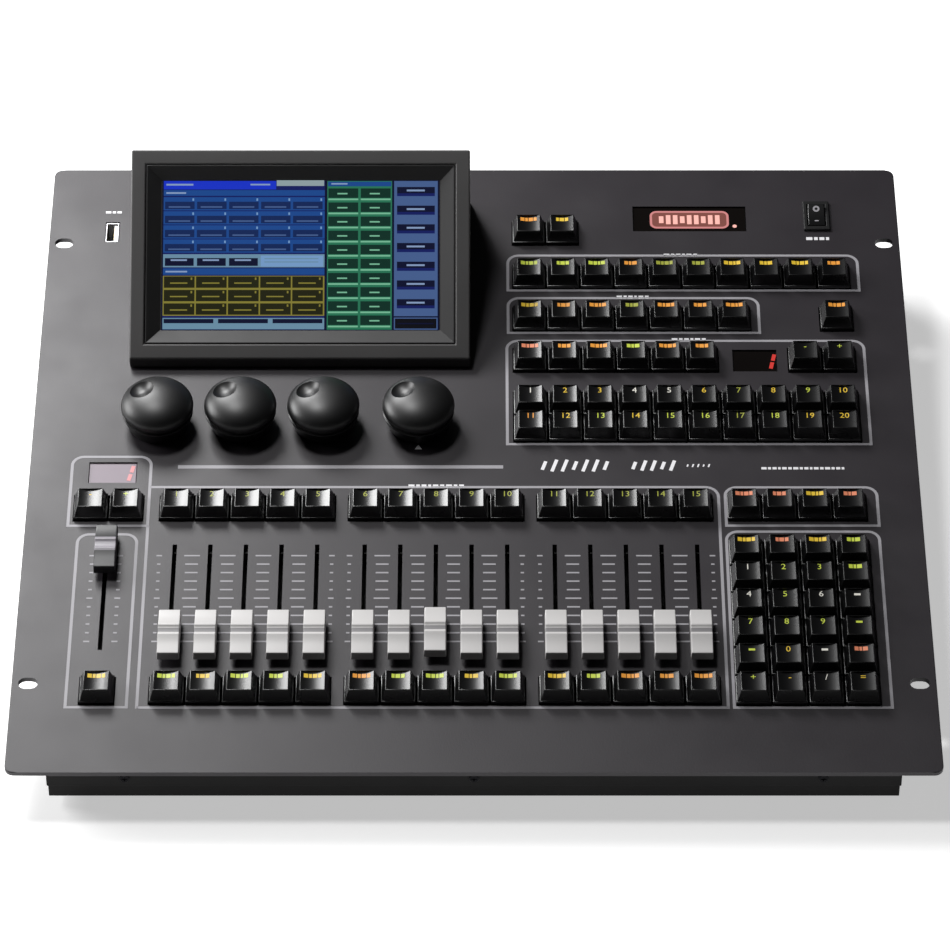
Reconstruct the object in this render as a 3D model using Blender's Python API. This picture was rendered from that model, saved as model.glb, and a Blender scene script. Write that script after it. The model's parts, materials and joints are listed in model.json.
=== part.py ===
"""A lighting control desk: a sloping 19-inch face plate on a shallow sheet-metal base.

Blender 4.5, metres, +Z up. The desk stands on the ground with its front towards -Y and the
origin under the middle of its bounding box. Most parts are laid out on the sloping face
plate, in panel coordinates: X across from the centre line, Y up the slope from the front
edge and Z out of the plate, with zero on its top face.
"""

import math

import bmesh
import bpy
from mathutils import Matrix, Vector

# Face plate, a ten-unit rack panel
PLATE_WIDTH = 0.4826
PLATE_DEPTH = 0.4437
PLATE_THICKNESS = 0.003
PLATE_CORNER = 0.0045
PLATE_SLOPE = math.radians(7.0)
RACK_SLOT_X = 0.2326
RACK_SLOT_INSET = 0.0595
RACK_SLOT_LENGTH = 0.0105
RACK_SLOT_WIDTH = 0.0075

# Base
FRONT_TOP = 0.0278
BASE_WIDTH = 0.441
WALL_GROOVE_WIDTH = 0.0026
WALL_GROOVE_DEPTH = 0.0004
BASE_INSET = 0.005
SHEET = 0.0015
COVER_STEP = 0.0007
COVER_LIP = 0.0075
GAP = 0.0003
FOOT_RADIUS = 0.011
FOOT_HEIGHT = 0.005
FOOT_X = 0.185
FOOT_FRONT = 0.055
FOOT_REAR = 0.385
FRONT_EDGE_Y = -(PLATE_DEPTH * math.cos(PLATE_SLOPE) + PLATE_THICKNESS * math.sin(PLATE_SLOPE)) / 2
REAR_EDGE_Y = -FRONT_EDGE_Y

# Keys: a square grid of caps whose banks share a carrier under the plate
KEY_PITCH = 0.01905
FIRST_COLUMN = 0.0309
CAP_HALF_BASE = 0.0091
CAP_HALF_TOP = 0.0066
CAP_SKIRT = 0.0026
CAP_HEIGHT = 0.009
CAP_CLEARANCE = 0.0005
CARRIER_BOTTOM = -0.0095
CARRIER_TOP = -0.008

# Each bank: name, X of its first column, columns, Y of its top row, rows
ROW_HEIGHTS = {
    "menu": 0.3916,
    "fixture": 0.3568,
    "attribute": 0.3238,
    "program": 0.2922,
    "select": 0.2587,
    "playback": 0.182,
    "number": 0.149,
    "flash": 0.0542,
}
GROUP_PITCH = 0.1016
GROUP_CENTRES = tuple(-0.0204 + GROUP_PITCH * step for step in (-1, 0, 1))
GROUP_SIZE = 5
GROUP_OFFSET = KEY_PITCH * (GROUP_SIZE - 1) / 2
PAD_COLUMN = FIRST_COLUMN + 6 * KEY_PITCH
PAGE_COLUMN = -0.2064
MASTER_X = -0.1964

# Faders, whose cap is a block with two slopes that fall outwards from a groove across its crown
FADER_TRAVEL = 0.060
FADER_LOW = 0.088
FADER_SLOT_WIDTH = 0.0024
FADER_SLOT_FRONT = 0.0822
FADER_SLOT_REAR = 0.156
FADER_CAP_HALF = 0.0059
FADER_CAP_REACH = 0.0152
FADER_CAP_BOTTOM = 0.0030
FADER_CAP_EDGE = (0.0078, 0.0086)
FADER_CAP_CROWN = (0.0032, 0.0107)
FADER_CAP_GROOVE = 0.0096
FADER_BLADE_HALF = (0.0006, 0.0025)
FADER_CARRIAGE_HALF = (0.0020, 0.0040)
FADER_CARRIAGE_TOP = -0.0060
FADER_CARRIAGE_BOTTOM = -0.0115
TRACK_WIDTH = 0.0092
TRACK_LENGTH = 0.0760
TRACK_TOP = -0.0046
TRACK_WALL = 0.0021
TRACK_END = 0.0024
TRACK_FLOOR = -0.0124
FADER_RAISED = {8: 0.0018}
MASTER_RAISED = FADER_TRAVEL

# Encoders
ENCODER_XS = (-0.1729, -0.1276, -0.0823, -0.0304)
ENCODER_Y = 0.2450
ENCODER_RADIUS = 0.0198
ENCODER_SEAM = 0.0140
ENCODER_DOME = 0.0096
ENCODER_SHAFT = 0.003
ENCODER_BORE = 0.0034
ENCODER_HOLE = 0.0042
ENCODER_FOOT = 0.0010
ENCODER_SKIRT = (0.0033, 0.0100)
ENCODER_LIP = (0.0012, 0.0110, 0.0128)
ENCODER_TAIL = -0.0150
ENCODER_STEPS = 24
HOLLOW_CENTRE = (-0.0100, 0.0055, 0.0285)
HOLLOW_RADIUS = 0.0098

# Boards under the plate
BOARD_TOP = -0.0194
BOARD_THICKNESS = 0.0016
SWITCH_TOP = -0.0140
SWITCH_HALF = 0.0068

# Display box: a low front wall, and a face that leans back from the wall's upper edge
DISPLAY_X = -0.0964
DISPLAY_WIDTH = 0.1884
DISPLAY_FACE = 0.1183
DISPLAY_FRONT_Y = 0.2865
DISPLAY_FRONT_Z = 0.0073
DISPLAY_LEAN = math.radians(33.2)
DISPLAY_THICKNESS = 0.026
DISPLAY_BACK_Y = 0.4175
DISPLAY_WALL = 0.002
SCREEN_WIDTH = 0.1721
SCREEN_HEIGHT = 0.1016
SCREEN_RECESS = 0.0035
SCREEN_GLASS = 0.002
MODULE_INSET = 0.006
MODULE_DEPTH = 0.0135
CABLE_WINDOW = (-0.0964, 0.355, 0.060, 0.030)

# Windows and sockets in the plate: X, Y of the centre, width, depth
PAGE_WINDOW = (-0.196, 0.2082, 0.0255, 0.0145)
BANK_WINDOW = (0.1556, 0.2921, 0.0240, 0.0160)
BADGE_WINDOW = (0.1227, 0.4038, 0.0640, 0.0195)
USB_PORT = (-0.2057, 0.3932, 0.0074, 0.0152)
SWITCH = (0.1951, 0.4052, 0.0130, 0.0190)
WINDOW_FLANGE = 0.001
LENS_RECESS = 0.0008
NUMERIC_DEPTH = 0.0100
BADGE_DEPTH = 0.0080
USB_WALL = 0.0008
USB_DEPTH = 0.0140
USB_MOUTH_DEPTH = 0.0120
USB_RECESS = 0.0004
SWITCH_FLANGE = (0.0152, 0.0232)
SWITCH_RISE = 0.0018
SWITCH_DEPTH = 0.0150
SWITCH_WELL = (0.0106, 0.0174, -0.0080)
ROCKER_HALF_WIDTH = 0.0048
ROCKER_TILT = math.radians(9.0)
ROCKER_PIVOT_Z = -0.001

# Rear sockets
SOCKET_XS = (-0.160, -0.120, -0.080, -0.040)
SOCKET_Z = 0.045
SOCKET_RADIUS = 0.012
SOCKET_BORE = 0.0093
SOCKET_STEPS = 20
INLET_X = 0.170
INLET_SIZE = (0.0270, 0.0200)

FINISHES = {
    "panel_paint": ((0.075, 0.072, 0.074), 0.42, 0.0),
    "base_paint": ((0.012, 0.012, 0.012), 0.45, 0.0),
    "cap_plastic": ((0.010, 0.010, 0.010), 0.35, 0.0),
    "fader_plastic": ((0.78, 0.77, 0.77), 0.40, 0.0),
    "master_plastic": ((0.09, 0.09, 0.10), 0.40, 0.0),
    "wheel_plastic": ((0.012, 0.012, 0.013), 0.22, 0.0),
    "housing_plastic": ((0.045, 0.045, 0.047), 0.45, 0.0),
    "screen_glass": ((0.02, 0.06, 0.20), 0.10, 0.0),
    "window_plastic": ((0.02, 0.005, 0.006), 0.15, 0.0),
    "board_laminate": ((0.02, 0.10, 0.04), 0.50, 0.0),
    "socket_steel": ((0.55, 0.55, 0.56), 0.35, 1.0),
    "socket_plastic": ((0.012, 0.012, 0.012), 0.40, 0.0),
    "foot_rubber": ((0.015, 0.015, 0.015), 0.80, 0.0),
}


# Scene, materials and objects


def clear_scene():
    for obj in list(bpy.data.objects):
        bpy.data.objects.remove(obj, do_unlink=True)


def finish(name):
    """The material of this name, made on its first use."""
    if name in bpy.data.materials:
        return bpy.data.materials[name]
    colour, roughness, metallic = FINISHES[name]
    made = bpy.data.materials.new(name)
    made.use_nodes = True
    shader = made.node_tree.nodes["Principled BSDF"]
    shader.inputs["Base Color"].default_value = (*colour, 1.0)
    shader.inputs["Roughness"].default_value = roughness
    shader.inputs["Metallic"].default_value = metallic
    return made


def empty(name, location, rotation_x=0.0, parent=None):
    """A frame to lay parts out in, turned about X."""
    made = bpy.data.objects.new(name, None)
    bpy.context.scene.collection.objects.link(made)
    made.location = location
    made.rotation_euler = (rotation_x, 0.0, 0.0)
    made.parent = parent
    return made


def place(name, mesh, finish_name, parent=None, location=(0, 0, 0), rotation_x=0.0):
    """A named part that shows this mesh."""
    made = bpy.data.objects.new(name, mesh)
    bpy.context.scene.collection.objects.link(made)
    made.parent = parent
    made.location = location
    made.rotation_euler = (rotation_x, 0.0, 0.0)
    if not mesh.materials:
        mesh.materials.append(finish(finish_name))
    return made


# Shapes, each added to a bmesh as a closed body


def box(bm, low, high):
    low, high = Vector(low), Vector(high)
    size = Matrix.Diagonal((*(high - low), 1.0))
    bmesh.ops.create_cube(bm, size=1.0, matrix=Matrix.Translation((low + high) / 2) @ size)


def centred_box(bm, x, y, width, depth, bottom, top):
    box(bm, (x - width / 2, y - depth / 2, bottom), (x + width / 2, y + depth / 2, top))


def post(bm, centre, radius_low, radius_high, bottom, top, steps):
    """An upright cylinder or cone."""
    middle = Matrix.Translation((centre[0], centre[1], (bottom + top) / 2))
    bmesh.ops.create_cone(
        bm,
        cap_ends=True,
        segments=steps,
        radius1=radius_low,
        radius2=radius_high,
        depth=top - bottom,
        matrix=middle,
    )


def lying_post(bm, x, z, radius, near, far, steps):
    """A cylinder along Y."""
    turn = Matrix.Translation((x, (near + far) / 2, z)) @ Matrix.Rotation(math.pi / 2, 4, "X")
    bmesh.ops.create_cone(
        bm, cap_ends=True, segments=steps, radius1=radius, radius2=radius, depth=far - near, matrix=turn
    )


def extruded(bm, points, step):
    """A prism over a flat outline of 3-D points, carried along step."""
    base = bm.faces.new([bm.verts.new(point) for point in points])
    made = bmesh.ops.extrude_face_region(bm, geom=[base])["geom"]
    tops = [item for item in made if isinstance(item, bmesh.types.BMVert)]
    bmesh.ops.translate(bm, vec=step, verts=tops)


def slab(bm, outline, bottom, top):
    """A prism over an outline of (x, y) points."""
    extruded(bm, [(x, y, bottom) for x, y in outline], (0, 0, top - bottom))


def side_prism(bm, outline, low_x, high_x):
    """A prism over an outline of (y, z) points, carried across X."""
    extruded(bm, [(low_x, y, z) for y, z in outline], (high_x - low_x, 0, 0))


def stacked(bm, x, y, levels):
    """A closed body of rectangular sections (z, half width, half depth), listed upwards."""
    rings = []
    for z, half_x, half_y in levels:
        signs = ((-1, -1), (1, -1), (1, 1), (-1, 1))
        rings.append([bm.verts.new((x + sx * half_x, y + sy * half_y, z)) for sx, sy in signs])
    bm.faces.new(rings[0][::-1])
    bm.faces.new(rings[-1])
    for lower, upper in zip(rings, rings[1:]):
        for side in range(4):
            following = (side + 1) % 4
            bm.faces.new((lower[side], lower[following], upper[following], upper[side]))


def turned(bm, profile, steps):
    """A body turned about Z, from (radius, z) points listed from its bottom to its top."""
    edge = [bm.verts.new((radius, 0, z)) for radius, z in profile]
    edges = [bm.edges.new(pair) for pair in zip(edge, edge[1:])]
    bmesh.ops.spin(
        bm, geom=edge + edges, axis=(0, 0, 1), cent=(0, 0, 0), angle=2 * math.pi, steps=steps, use_merge=True
    )
    bmesh.ops.remove_doubles(bm, verts=bm.verts, dist=1e-6)
    for vertex_z in (profile[0][1], profile[-1][1]):
        rim = [
            item
            for item in bm.edges
            if item.is_boundary and abs(item.verts[0].co.z - vertex_z) < 1e-6
        ]
        if rim:
            bmesh.ops.holes_fill(bm, edges=rim, sides=0)


def arc(centre, radius, start, end, steps):
    """Points round an arc in degrees, both ends included."""
    angles = [math.radians(start + (end - start) * step / steps) for step in range(steps + 1)]
    return [(centre[0] + radius * math.cos(a), centre[1] + radius * math.sin(a)) for a in angles]


def rounded_outline(width, depth, radius, steps):
    """A rectangle from (-width / 2, 0) to (width / 2, depth) with round corners."""
    right, far = width / 2 - radius, depth - radius
    corners = (((right, radius), -90), ((right, far), 0), ((-right, far), 90), ((-right, radius), 180))
    return [point for centre, start in corners for point in arc(centre, radius, start, start + 90, steps)]


def slot_outline(x, y, length, width):
    """A slot with round ends, lying along X."""
    reach = (length - width) / 2
    right = arc((x + reach, y), width / 2, -90, 90, 6)
    return right + arc((x - reach, y), width / 2, 90, 270, 6)


def mesh_of(name, build):
    """The mesh that build(bm) makes, with its faces turned outwards."""
    bm = bmesh.new()
    build(bm)
    bmesh.ops.recalc_face_normals(bm, faces=bm.faces)
    made = bpy.data.meshes.new(name)
    bm.to_mesh(made)
    bm.free()
    return made


def combined(name, base, add=None, cut=None):
    """The mesh of base with add joined to it and cut taken out of it, each given as build(bm)."""
    body = bpy.data.objects.new(name + "_body", mesh_of(name, base))
    bpy.context.scene.collection.objects.link(body)
    tools = []
    for operation, build in (("UNION", add), ("DIFFERENCE", cut)):
        if build is None:
            continue
        tool = bpy.data.objects.new(name + "_tool", mesh_of(name + "_tool", build))
        bpy.context.scene.collection.objects.link(tool)
        modifier = body.modifiers.new(operation.lower(), "BOOLEAN")
        modifier.operation = operation
        modifier.object = tool
        modifier.solver = "EXACT"
        tools.append(tool)
    graph = bpy.context.evaluated_depsgraph_get()
    graph.update()
    made = bpy.data.meshes.new_from_object(body.evaluated_get(graph))
    made.name = name
    made.materials.clear()
    for obj in (body, *tools):
        bpy.data.objects.remove(obj, do_unlink=True)
    return made


def smooth(mesh):
    """Shades the round sides smooth and keeps the edges sharp."""
    mesh.shade_smooth()
    mesh.set_sharp_from_angle(angle=math.radians(35))
    return mesh


# The layout that the plate, the keys and the boards share


def key_banks():
    """Each bank of keys: name, X of its first column, columns, Y of its top row, rows."""
    rows = ROW_HEIGHTS
    banks = [
        ("menu_keys", FIRST_COLUMN, 2, rows["menu"], 1),
        ("fixture_keys", FIRST_COLUMN, 10, rows["fixture"], 1),
        ("attribute_keys", FIRST_COLUMN, 7, rows["attribute"], 1),
        ("side_key", FIRST_COLUMN + 9 * KEY_PITCH, 1, rows["attribute"], 1),
        ("program_keys", FIRST_COLUMN, 6, rows["program"], 1),
        ("bank_keys", FIRST_COLUMN + 8 * KEY_PITCH, 2, rows["program"], 1),
        ("select_keys", FIRST_COLUMN, 10, rows["select"], 2),
        ("page_keys", PAGE_COLUMN, 2, rows["playback"], 1),
        ("mode_keys", PAD_COLUMN, 4, rows["playback"], 1),
        ("number_keys", PAD_COLUMN, 4, rows["number"], 6),
        ("master_key", MASTER_X, 1, rows["flash"], 1),
    ]
    for kind in ("playback", "flash"):
        for number, centre in enumerate(GROUP_CENTRES, 1):
            banks.append((f"{kind}_keys_{number}", centre - GROUP_OFFSET, GROUP_SIZE, rows[kind], 1))
    return banks


def bank_block(first_x, columns, top_y, rows, margin):
    """Low and high corner of the rectangle that a bank's caps fill, grown by margin."""
    reach = CAP_HALF_BASE + margin
    low = (first_x - reach, top_y - (rows - 1) * KEY_PITCH - reach)
    high = (first_x + (columns - 1) * KEY_PITCH + reach, top_y + reach)
    return low, high


def fader_xs():
    return [
        centre + (step - (GROUP_SIZE - 1) / 2) * KEY_PITCH
        for centre in GROUP_CENTRES
        for step in range(GROUP_SIZE)
    ]


def board(bm, low, high):
    box(bm, (*low, BOARD_TOP - BOARD_THICKNESS), (*high, BOARD_TOP))


def switch_strips(bm, names):
    """A strip of switch bodies under each row of the named banks."""
    for name, first_x, columns, top_y, rows in key_banks():
        if name not in names:
            continue
        for row in range(rows):
            y = top_y - row * KEY_PITCH
            low_x = first_x - SWITCH_HALF
            high_x = first_x + (columns - 1) * KEY_PITCH + SWITCH_HALF
            box(
                bm,
                (low_x, y - SWITCH_HALF, BOARD_TOP - BOARD_THICKNESS / 2),
                (high_x, y + SWITCH_HALF, SWITCH_TOP),
            )


# Face plate and what is fixed in it


def make_face_plate(panel):
    """The plate, with a shallow groove underneath over each side wall of the base."""
    under = -PLATE_THICKNESS - 0.001
    over = 0.001

    def blank(bm):
        slab(bm, rounded_outline(PLATE_WIDTH, PLATE_DEPTH, PLATE_CORNER, 4), -PLATE_THICKNESS, 0.0)

    def openings(bm):
        for _, first_x, columns, top_y, rows in key_banks():
            low, high = bank_block(first_x, columns, top_y, rows, CAP_CLEARANCE)
            box(bm, (*low, under), (*high, over))
        slot_depth = FADER_SLOT_REAR - FADER_SLOT_FRONT
        slot_middle = (FADER_SLOT_REAR + FADER_SLOT_FRONT) / 2
        for x in (*fader_xs(), MASTER_X):
            centred_box(bm, x, slot_middle, FADER_SLOT_WIDTH, slot_depth, under, over)
        for x, y, width, depth in (PAGE_WINDOW, BANK_WINDOW, BADGE_WINDOW, USB_PORT, SWITCH):
            centred_box(bm, x, y, width + 2 * GAP, depth + 2 * GAP, under, over)
        for x in ENCODER_XS:
            post(bm, (x, ENCODER_Y), ENCODER_HOLE, ENCODER_HOLE, under, over, 12)
        for x in (-RACK_SLOT_X, RACK_SLOT_X):
            for y in (RACK_SLOT_INSET, PLATE_DEPTH - RACK_SLOT_INSET):
                slab(bm, slot_outline(x, y, RACK_SLOT_LENGTH, RACK_SLOT_WIDTH), under, over)
        centred_box(bm, *CABLE_WINDOW, under, over)
        groove_x, groove_top = (BASE_WIDTH - SHEET) / 2, -PLATE_THICKNESS + WALL_GROOVE_DEPTH
        for x in (-groove_x, groove_x):
            centred_box(bm, x, PLATE_DEPTH / 2, WALL_GROOVE_WIDTH, PLATE_DEPTH + 0.01, under, groove_top)

    place("face_plate", combined("face_plate", blank, cut=openings), "panel_paint", panel)


def make_window(name, panel, place_and_size, depth):
    """A display module that looks through the plate, its lens a little below the plate's face."""
    x, y, width, length = place_and_size
    half_x, half_y = width / 2, length / 2

    def module(bm):
        levels = (
            (-depth, half_x + WINDOW_FLANGE, half_y + WINDOW_FLANGE),
            (-PLATE_THICKNESS - GAP, half_x + WINDOW_FLANGE, half_y + WINDOW_FLANGE),
            (-PLATE_THICKNESS - GAP, half_x, half_y),
            (-LENS_RECESS, half_x, half_y),
        )
        stacked(bm, x, y, levels)

    place(name, mesh_of(name, module), "window_plastic", panel)


def make_usb_socket(panel):
    x, y, width, length = USB_PORT

    def shell(bm):
        centred_box(bm, x, y, width, length, -USB_DEPTH, -USB_RECESS)

    def mouth(bm):
        centred_box(bm, x, y, width - 2 * USB_WALL, length - 2 * USB_WALL, -USB_MOUTH_DEPTH, 0.001)

    place("usb_socket", combined("usb_socket", shell, cut=mouth), "socket_steel", panel)


def make_power_switch(panel):
    x, y, width, length = SWITCH
    flange_half_x, flange_half_y = SWITCH_FLANGE[0] / 2, SWITCH_FLANGE[1] / 2

    def body(bm):
        levels = (
            (-SWITCH_DEPTH, width / 2, length / 2),
            (GAP, width / 2, length / 2),
            (GAP, flange_half_x, flange_half_y),
            (SWITCH_RISE, flange_half_x - 0.0004, flange_half_y - 0.0004),
        )
        stacked(bm, x, y, levels)

    def well(bm):
        well_width, well_length, well_floor = SWITCH_WELL
        centred_box(bm, x, y, well_width, well_length, well_floor, 0.004)

    place("switch_body", combined("switch_body", body, cut=well), "socket_plastic", panel)

    # A shallow V across the top, so that one half stands up as the other lies flush.
    outline = [(-0.0050, -0.0038), (0.0050, -0.0038), (0.0076, 0.0006), (0.0076, 0.0040), (0.0, 0.0028)]
    outline += [(-0.0076, 0.0040), (-0.0076, 0.0006)]

    def rocker(bm):
        side_prism(bm, outline, -ROCKER_HALF_WIDTH, ROCKER_HALF_WIDTH)

    pivot = (x, y, ROCKER_PIVOT_Z)
    place("power_rocker", mesh_of("power_rocker", rocker), "cap_plastic", panel, pivot, ROCKER_TILT)


# Moving controls


def make_key_banks(panel):
    """Each bank is its caps, standing through the plate, on the carrier that joins them below."""
    for name, first_x, columns, top_y, rows in key_banks():
        low, high = bank_block(0.0, columns, 0.0, rows, 0.0)

        def carrier(bm):
            box(bm, (*low, CARRIER_BOTTOM), (*high, CARRIER_TOP))

        def caps(bm):
            levels = (
                ((CARRIER_BOTTOM + CARRIER_TOP) / 2, CAP_HALF_BASE - 0.0002, CAP_HALF_BASE - 0.0002),
                (CAP_SKIRT, CAP_HALF_BASE - 0.0002, CAP_HALF_BASE - 0.0002),
                (CAP_HEIGHT, CAP_HALF_TOP, CAP_HALF_TOP),
            )
            for row in range(rows):
                for column in range(columns):
                    stacked(bm, column * KEY_PITCH, -row * KEY_PITCH, levels)

        place(name, combined(name, carrier, add=caps), "cap_plastic", panel, (first_x, top_y, 0))


def make_faders(panel):
    """Each fader is its cap, the blade through the slot and the carriage in the track, as one piece."""
    edge_low, edge_high = FADER_CAP_EDGE
    rear = [
        (FADER_CAP_REACH, FADER_CAP_BOTTOM),
        (FADER_CAP_REACH, edge_low),
        (FADER_CAP_REACH - 0.0010, edge_high),
        FADER_CAP_CROWN,
    ]
    front = [(-y, z) for y, z in reversed(rear)]

    def cap(bm):
        side_prism(bm, [*rear, (0.0, FADER_CAP_GROOVE), *front], -FADER_CAP_HALF, FADER_CAP_HALF)

    def stem(bm):
        levels = (
            (FADER_CARRIAGE_BOTTOM, *FADER_CARRIAGE_HALF),
            (FADER_CARRIAGE_TOP, *FADER_CARRIAGE_HALF),
            (FADER_CARRIAGE_TOP, *FADER_BLADE_HALF),
            (FADER_CAP_BOTTOM + 0.0018, *FADER_BLADE_HALF),
        )
        stacked(bm, 0, 0, levels)

    white = combined("fader", cap, add=stem)
    grey = white.copy()
    for number, x in enumerate(fader_xs(), 1):
        y = FADER_LOW + FADER_RAISED.get(number, 0.0)
        place(f"fader_{number}", white, "fader_plastic", panel, (x, y, 0))
    place("master_fader", grey, "master_plastic", panel, (MASTER_X, FADER_LOW + MASTER_RAISED, 0))


def make_encoder_wheels(panel):
    """Four domed wheels, each with a finger hollow in its top and its shaft below."""
    rim = ENCODER_RADIUS
    taper, skirt_top = ENCODER_SKIRT
    lip_depth, lip_low, lip_high = ENCODER_LIP

    def wheel(bm):
        profile = [
            (ENCODER_SHAFT, ENCODER_TAIL),
            (ENCODER_SHAFT, ENCODER_FOOT),
            (rim - taper, ENCODER_FOOT),
            (rim - 0.0004, skirt_top),
            (rim - lip_depth, lip_low),
            (rim - lip_depth, lip_high),
            (rim, ENCODER_SEAM),
        ]
        for angle in (math.radians(degrees) for degrees in (20, 38, 54, 68, 80)):
            profile.append((rim * math.cos(angle), ENCODER_SEAM + ENCODER_DOME * math.sin(angle)))
        profile.append((0.0, ENCODER_SEAM + ENCODER_DOME))
        turned(bm, profile, ENCODER_STEPS)

    def hollow(bm):
        middle = Matrix.Translation(HOLLOW_CENTRE)
        bmesh.ops.create_uvsphere(bm, u_segments=20, v_segments=14, radius=HOLLOW_RADIUS, matrix=middle)

    mesh = smooth(combined("encoder_wheel", wheel, cut=hollow))
    for number, x in enumerate(ENCODER_XS, 1):
        place(f"encoder_wheel_{number}", mesh, "wheel_plastic", panel, (x, ENCODER_Y, 0))


# Boards under the plate


def make_playback_board(panel):
    """Carries the fader tracks and the switches of the playback, page, flash and master keys."""
    names = {"page_keys", "master_key"}
    names |= {f"{kind}_keys_{number}" for kind in ("playback", "flash") for number in (1, 2, 3)}
    middle = FADER_LOW + FADER_TRAVEL / 2
    tracks = (*fader_xs(), MASTER_X)

    def base(bm):
        board(bm, (-0.2150, 0.0432), (0.1315, 0.1925))

    def bodies(bm):
        switch_strips(bm, names)
        for x in tracks:
            bottom = BOARD_TOP - BOARD_THICKNESS / 2
            centred_box(bm, x, middle, TRACK_WIDTH, TRACK_LENGTH, bottom, TRACK_TOP)

    def channels(bm):
        for x in tracks:
            width, length = TRACK_WIDTH - 2 * TRACK_WALL, TRACK_LENGTH - 2 * TRACK_END
            centred_box(bm, x, middle, width, length, TRACK_FLOOR, 0.0)

    place("playback_board", combined("playback_board", base, bodies, channels), "board_laminate", panel)


def make_key_board(name, panel, low, high, names):
    def base(bm):
        board(bm, low, high)

    def strips(bm):
        switch_strips(bm, names)

    place(name, combined(name, base, add=strips), "board_laminate", panel)


def make_encoder_board(panel):
    def base(bm):
        board(bm, (ENCODER_XS[0] - 0.014, ENCODER_Y - 0.012), (ENCODER_XS[-1] + 0.014, ENCODER_Y + 0.012))

    def bodies(bm):
        for x in ENCODER_XS:
            levels = (
                (BOARD_TOP - BOARD_THICKNESS / 2, 0.0065, 0.0065),
                (-0.0080, 0.0065, 0.0065),
                (-0.0080, 0.0048, 0.0048),
                (-PLATE_THICKNESS - 0.0005, 0.0048, 0.0048),
            )
            stacked(bm, x, ENCODER_Y, levels)

    def bores(bm):
        for x in ENCODER_XS:
            post(bm, (x, ENCODER_Y), ENCODER_BORE, ENCODER_BORE, -0.0160, 0.0, ENCODER_STEPS)

    place("encoder_board", combined("encoder_board", base, bodies, bores), "board_laminate", panel)


# Display box


def to_display(y, z):
    """Panel (Y, Z) in the display's frame: up its face from the lower front edge, and out of it."""
    away, up = y - DISPLAY_FRONT_Y, z - DISPLAY_FRONT_Z
    lean = DISPLAY_LEAN
    return away * math.cos(lean) + up * math.sin(lean), up * math.cos(lean) - away * math.sin(lean)


def make_display(panel):
    """A wedge that stands on the plate, with the touch screen in its open leaning face."""
    frame = empty("display_frame", (DISPLAY_X, DISPLAY_FRONT_Y, DISPLAY_FRONT_Z), DISPLAY_LEAN, panel)
    wall = DISPLAY_WALL

    def shell(bm):
        outline = [
            (0.0, 0.0),
            (DISPLAY_FACE, 0.0),
            (DISPLAY_FACE, -DISPLAY_THICKNESS),
            to_display(DISPLAY_BACK_Y, GAP),
            to_display(DISPLAY_FRONT_Y, GAP),
        ]
        side_prism(bm, outline, -DISPLAY_WIDTH / 2, DISPLAY_WIDTH / 2)

    def inside(bm):
        back = to_display(DISPLAY_BACK_Y - 2.2 * wall, -0.002)
        front = to_display(DISPLAY_FRONT_Y + 1.3 * wall, -0.002)
        outline = [
            (wall, -SCREEN_RECESS - wall),
            (DISPLAY_FACE - wall, -SCREEN_RECESS - wall),
            (DISPLAY_FACE - wall, -DISPLAY_THICKNESS + wall),
            back,
            front,
        ]
        side_prism(bm, outline, wall - DISPLAY_WIDTH / 2, DISPLAY_WIDTH / 2 - wall)

    def window(bm):
        half_width = SCREEN_WIDTH / 2
        low, high = (DISPLAY_FACE - SCREEN_HEIGHT) / 2, (DISPLAY_FACE + SCREEN_HEIGHT) / 2
        box(bm, (-half_width, low, -SCREEN_RECESS - 2 * wall), (half_width, high, 0.001))

    hollowed = combined("display_shell", shell, cut=inside)

    def hollowed_shell(bm):
        bm.from_mesh(hollowed)

    mesh = combined("display_housing", hollowed_shell, cut=window)
    place("display_housing", mesh, "housing_plastic", frame)

    def screen(bm):
        half_width, half_height = SCREEN_WIDTH / 2, SCREEN_HEIGHT / 2
        levels = (
            (-MODULE_DEPTH, half_width - MODULE_INSET, half_height - MODULE_INSET),
            (-SCREEN_RECESS - SCREEN_GLASS, half_width - MODULE_INSET, half_height - MODULE_INSET),
            (-SCREEN_RECESS - SCREEN_GLASS, half_width - GAP, half_height - GAP),
            (-SCREEN_RECESS, half_width - GAP, half_height - GAP),
        )
        stacked(bm, 0, DISPLAY_FACE / 2, levels)

    place("touch_screen", mesh_of("touch_screen", screen), "screen_glass", frame)


# Base


def under_plate(y):
    """Height of the plate's underside at world y, less a hair's gap."""
    return FRONT_TOP + (y - FRONT_EDGE_Y) * math.tan(PLATE_SLOPE) - (PLATE_THICKNESS + GAP) / math.cos(
        PLATE_SLOPE
    )


def base_wedge(bm, inset, bottom, raise_top=0.0):
    front, rear = FRONT_EDGE_Y + BASE_INSET + inset, REAR_EDGE_Y - BASE_INSET - inset
    half = BASE_WIDTH / 2 - inset
    outline = [
        (front, bottom),
        (rear, bottom),
        (rear, under_plate(rear) + raise_top),
        (front, under_plate(front) + raise_top),
    ]
    side_prism(bm, outline, -half, half)


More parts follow.
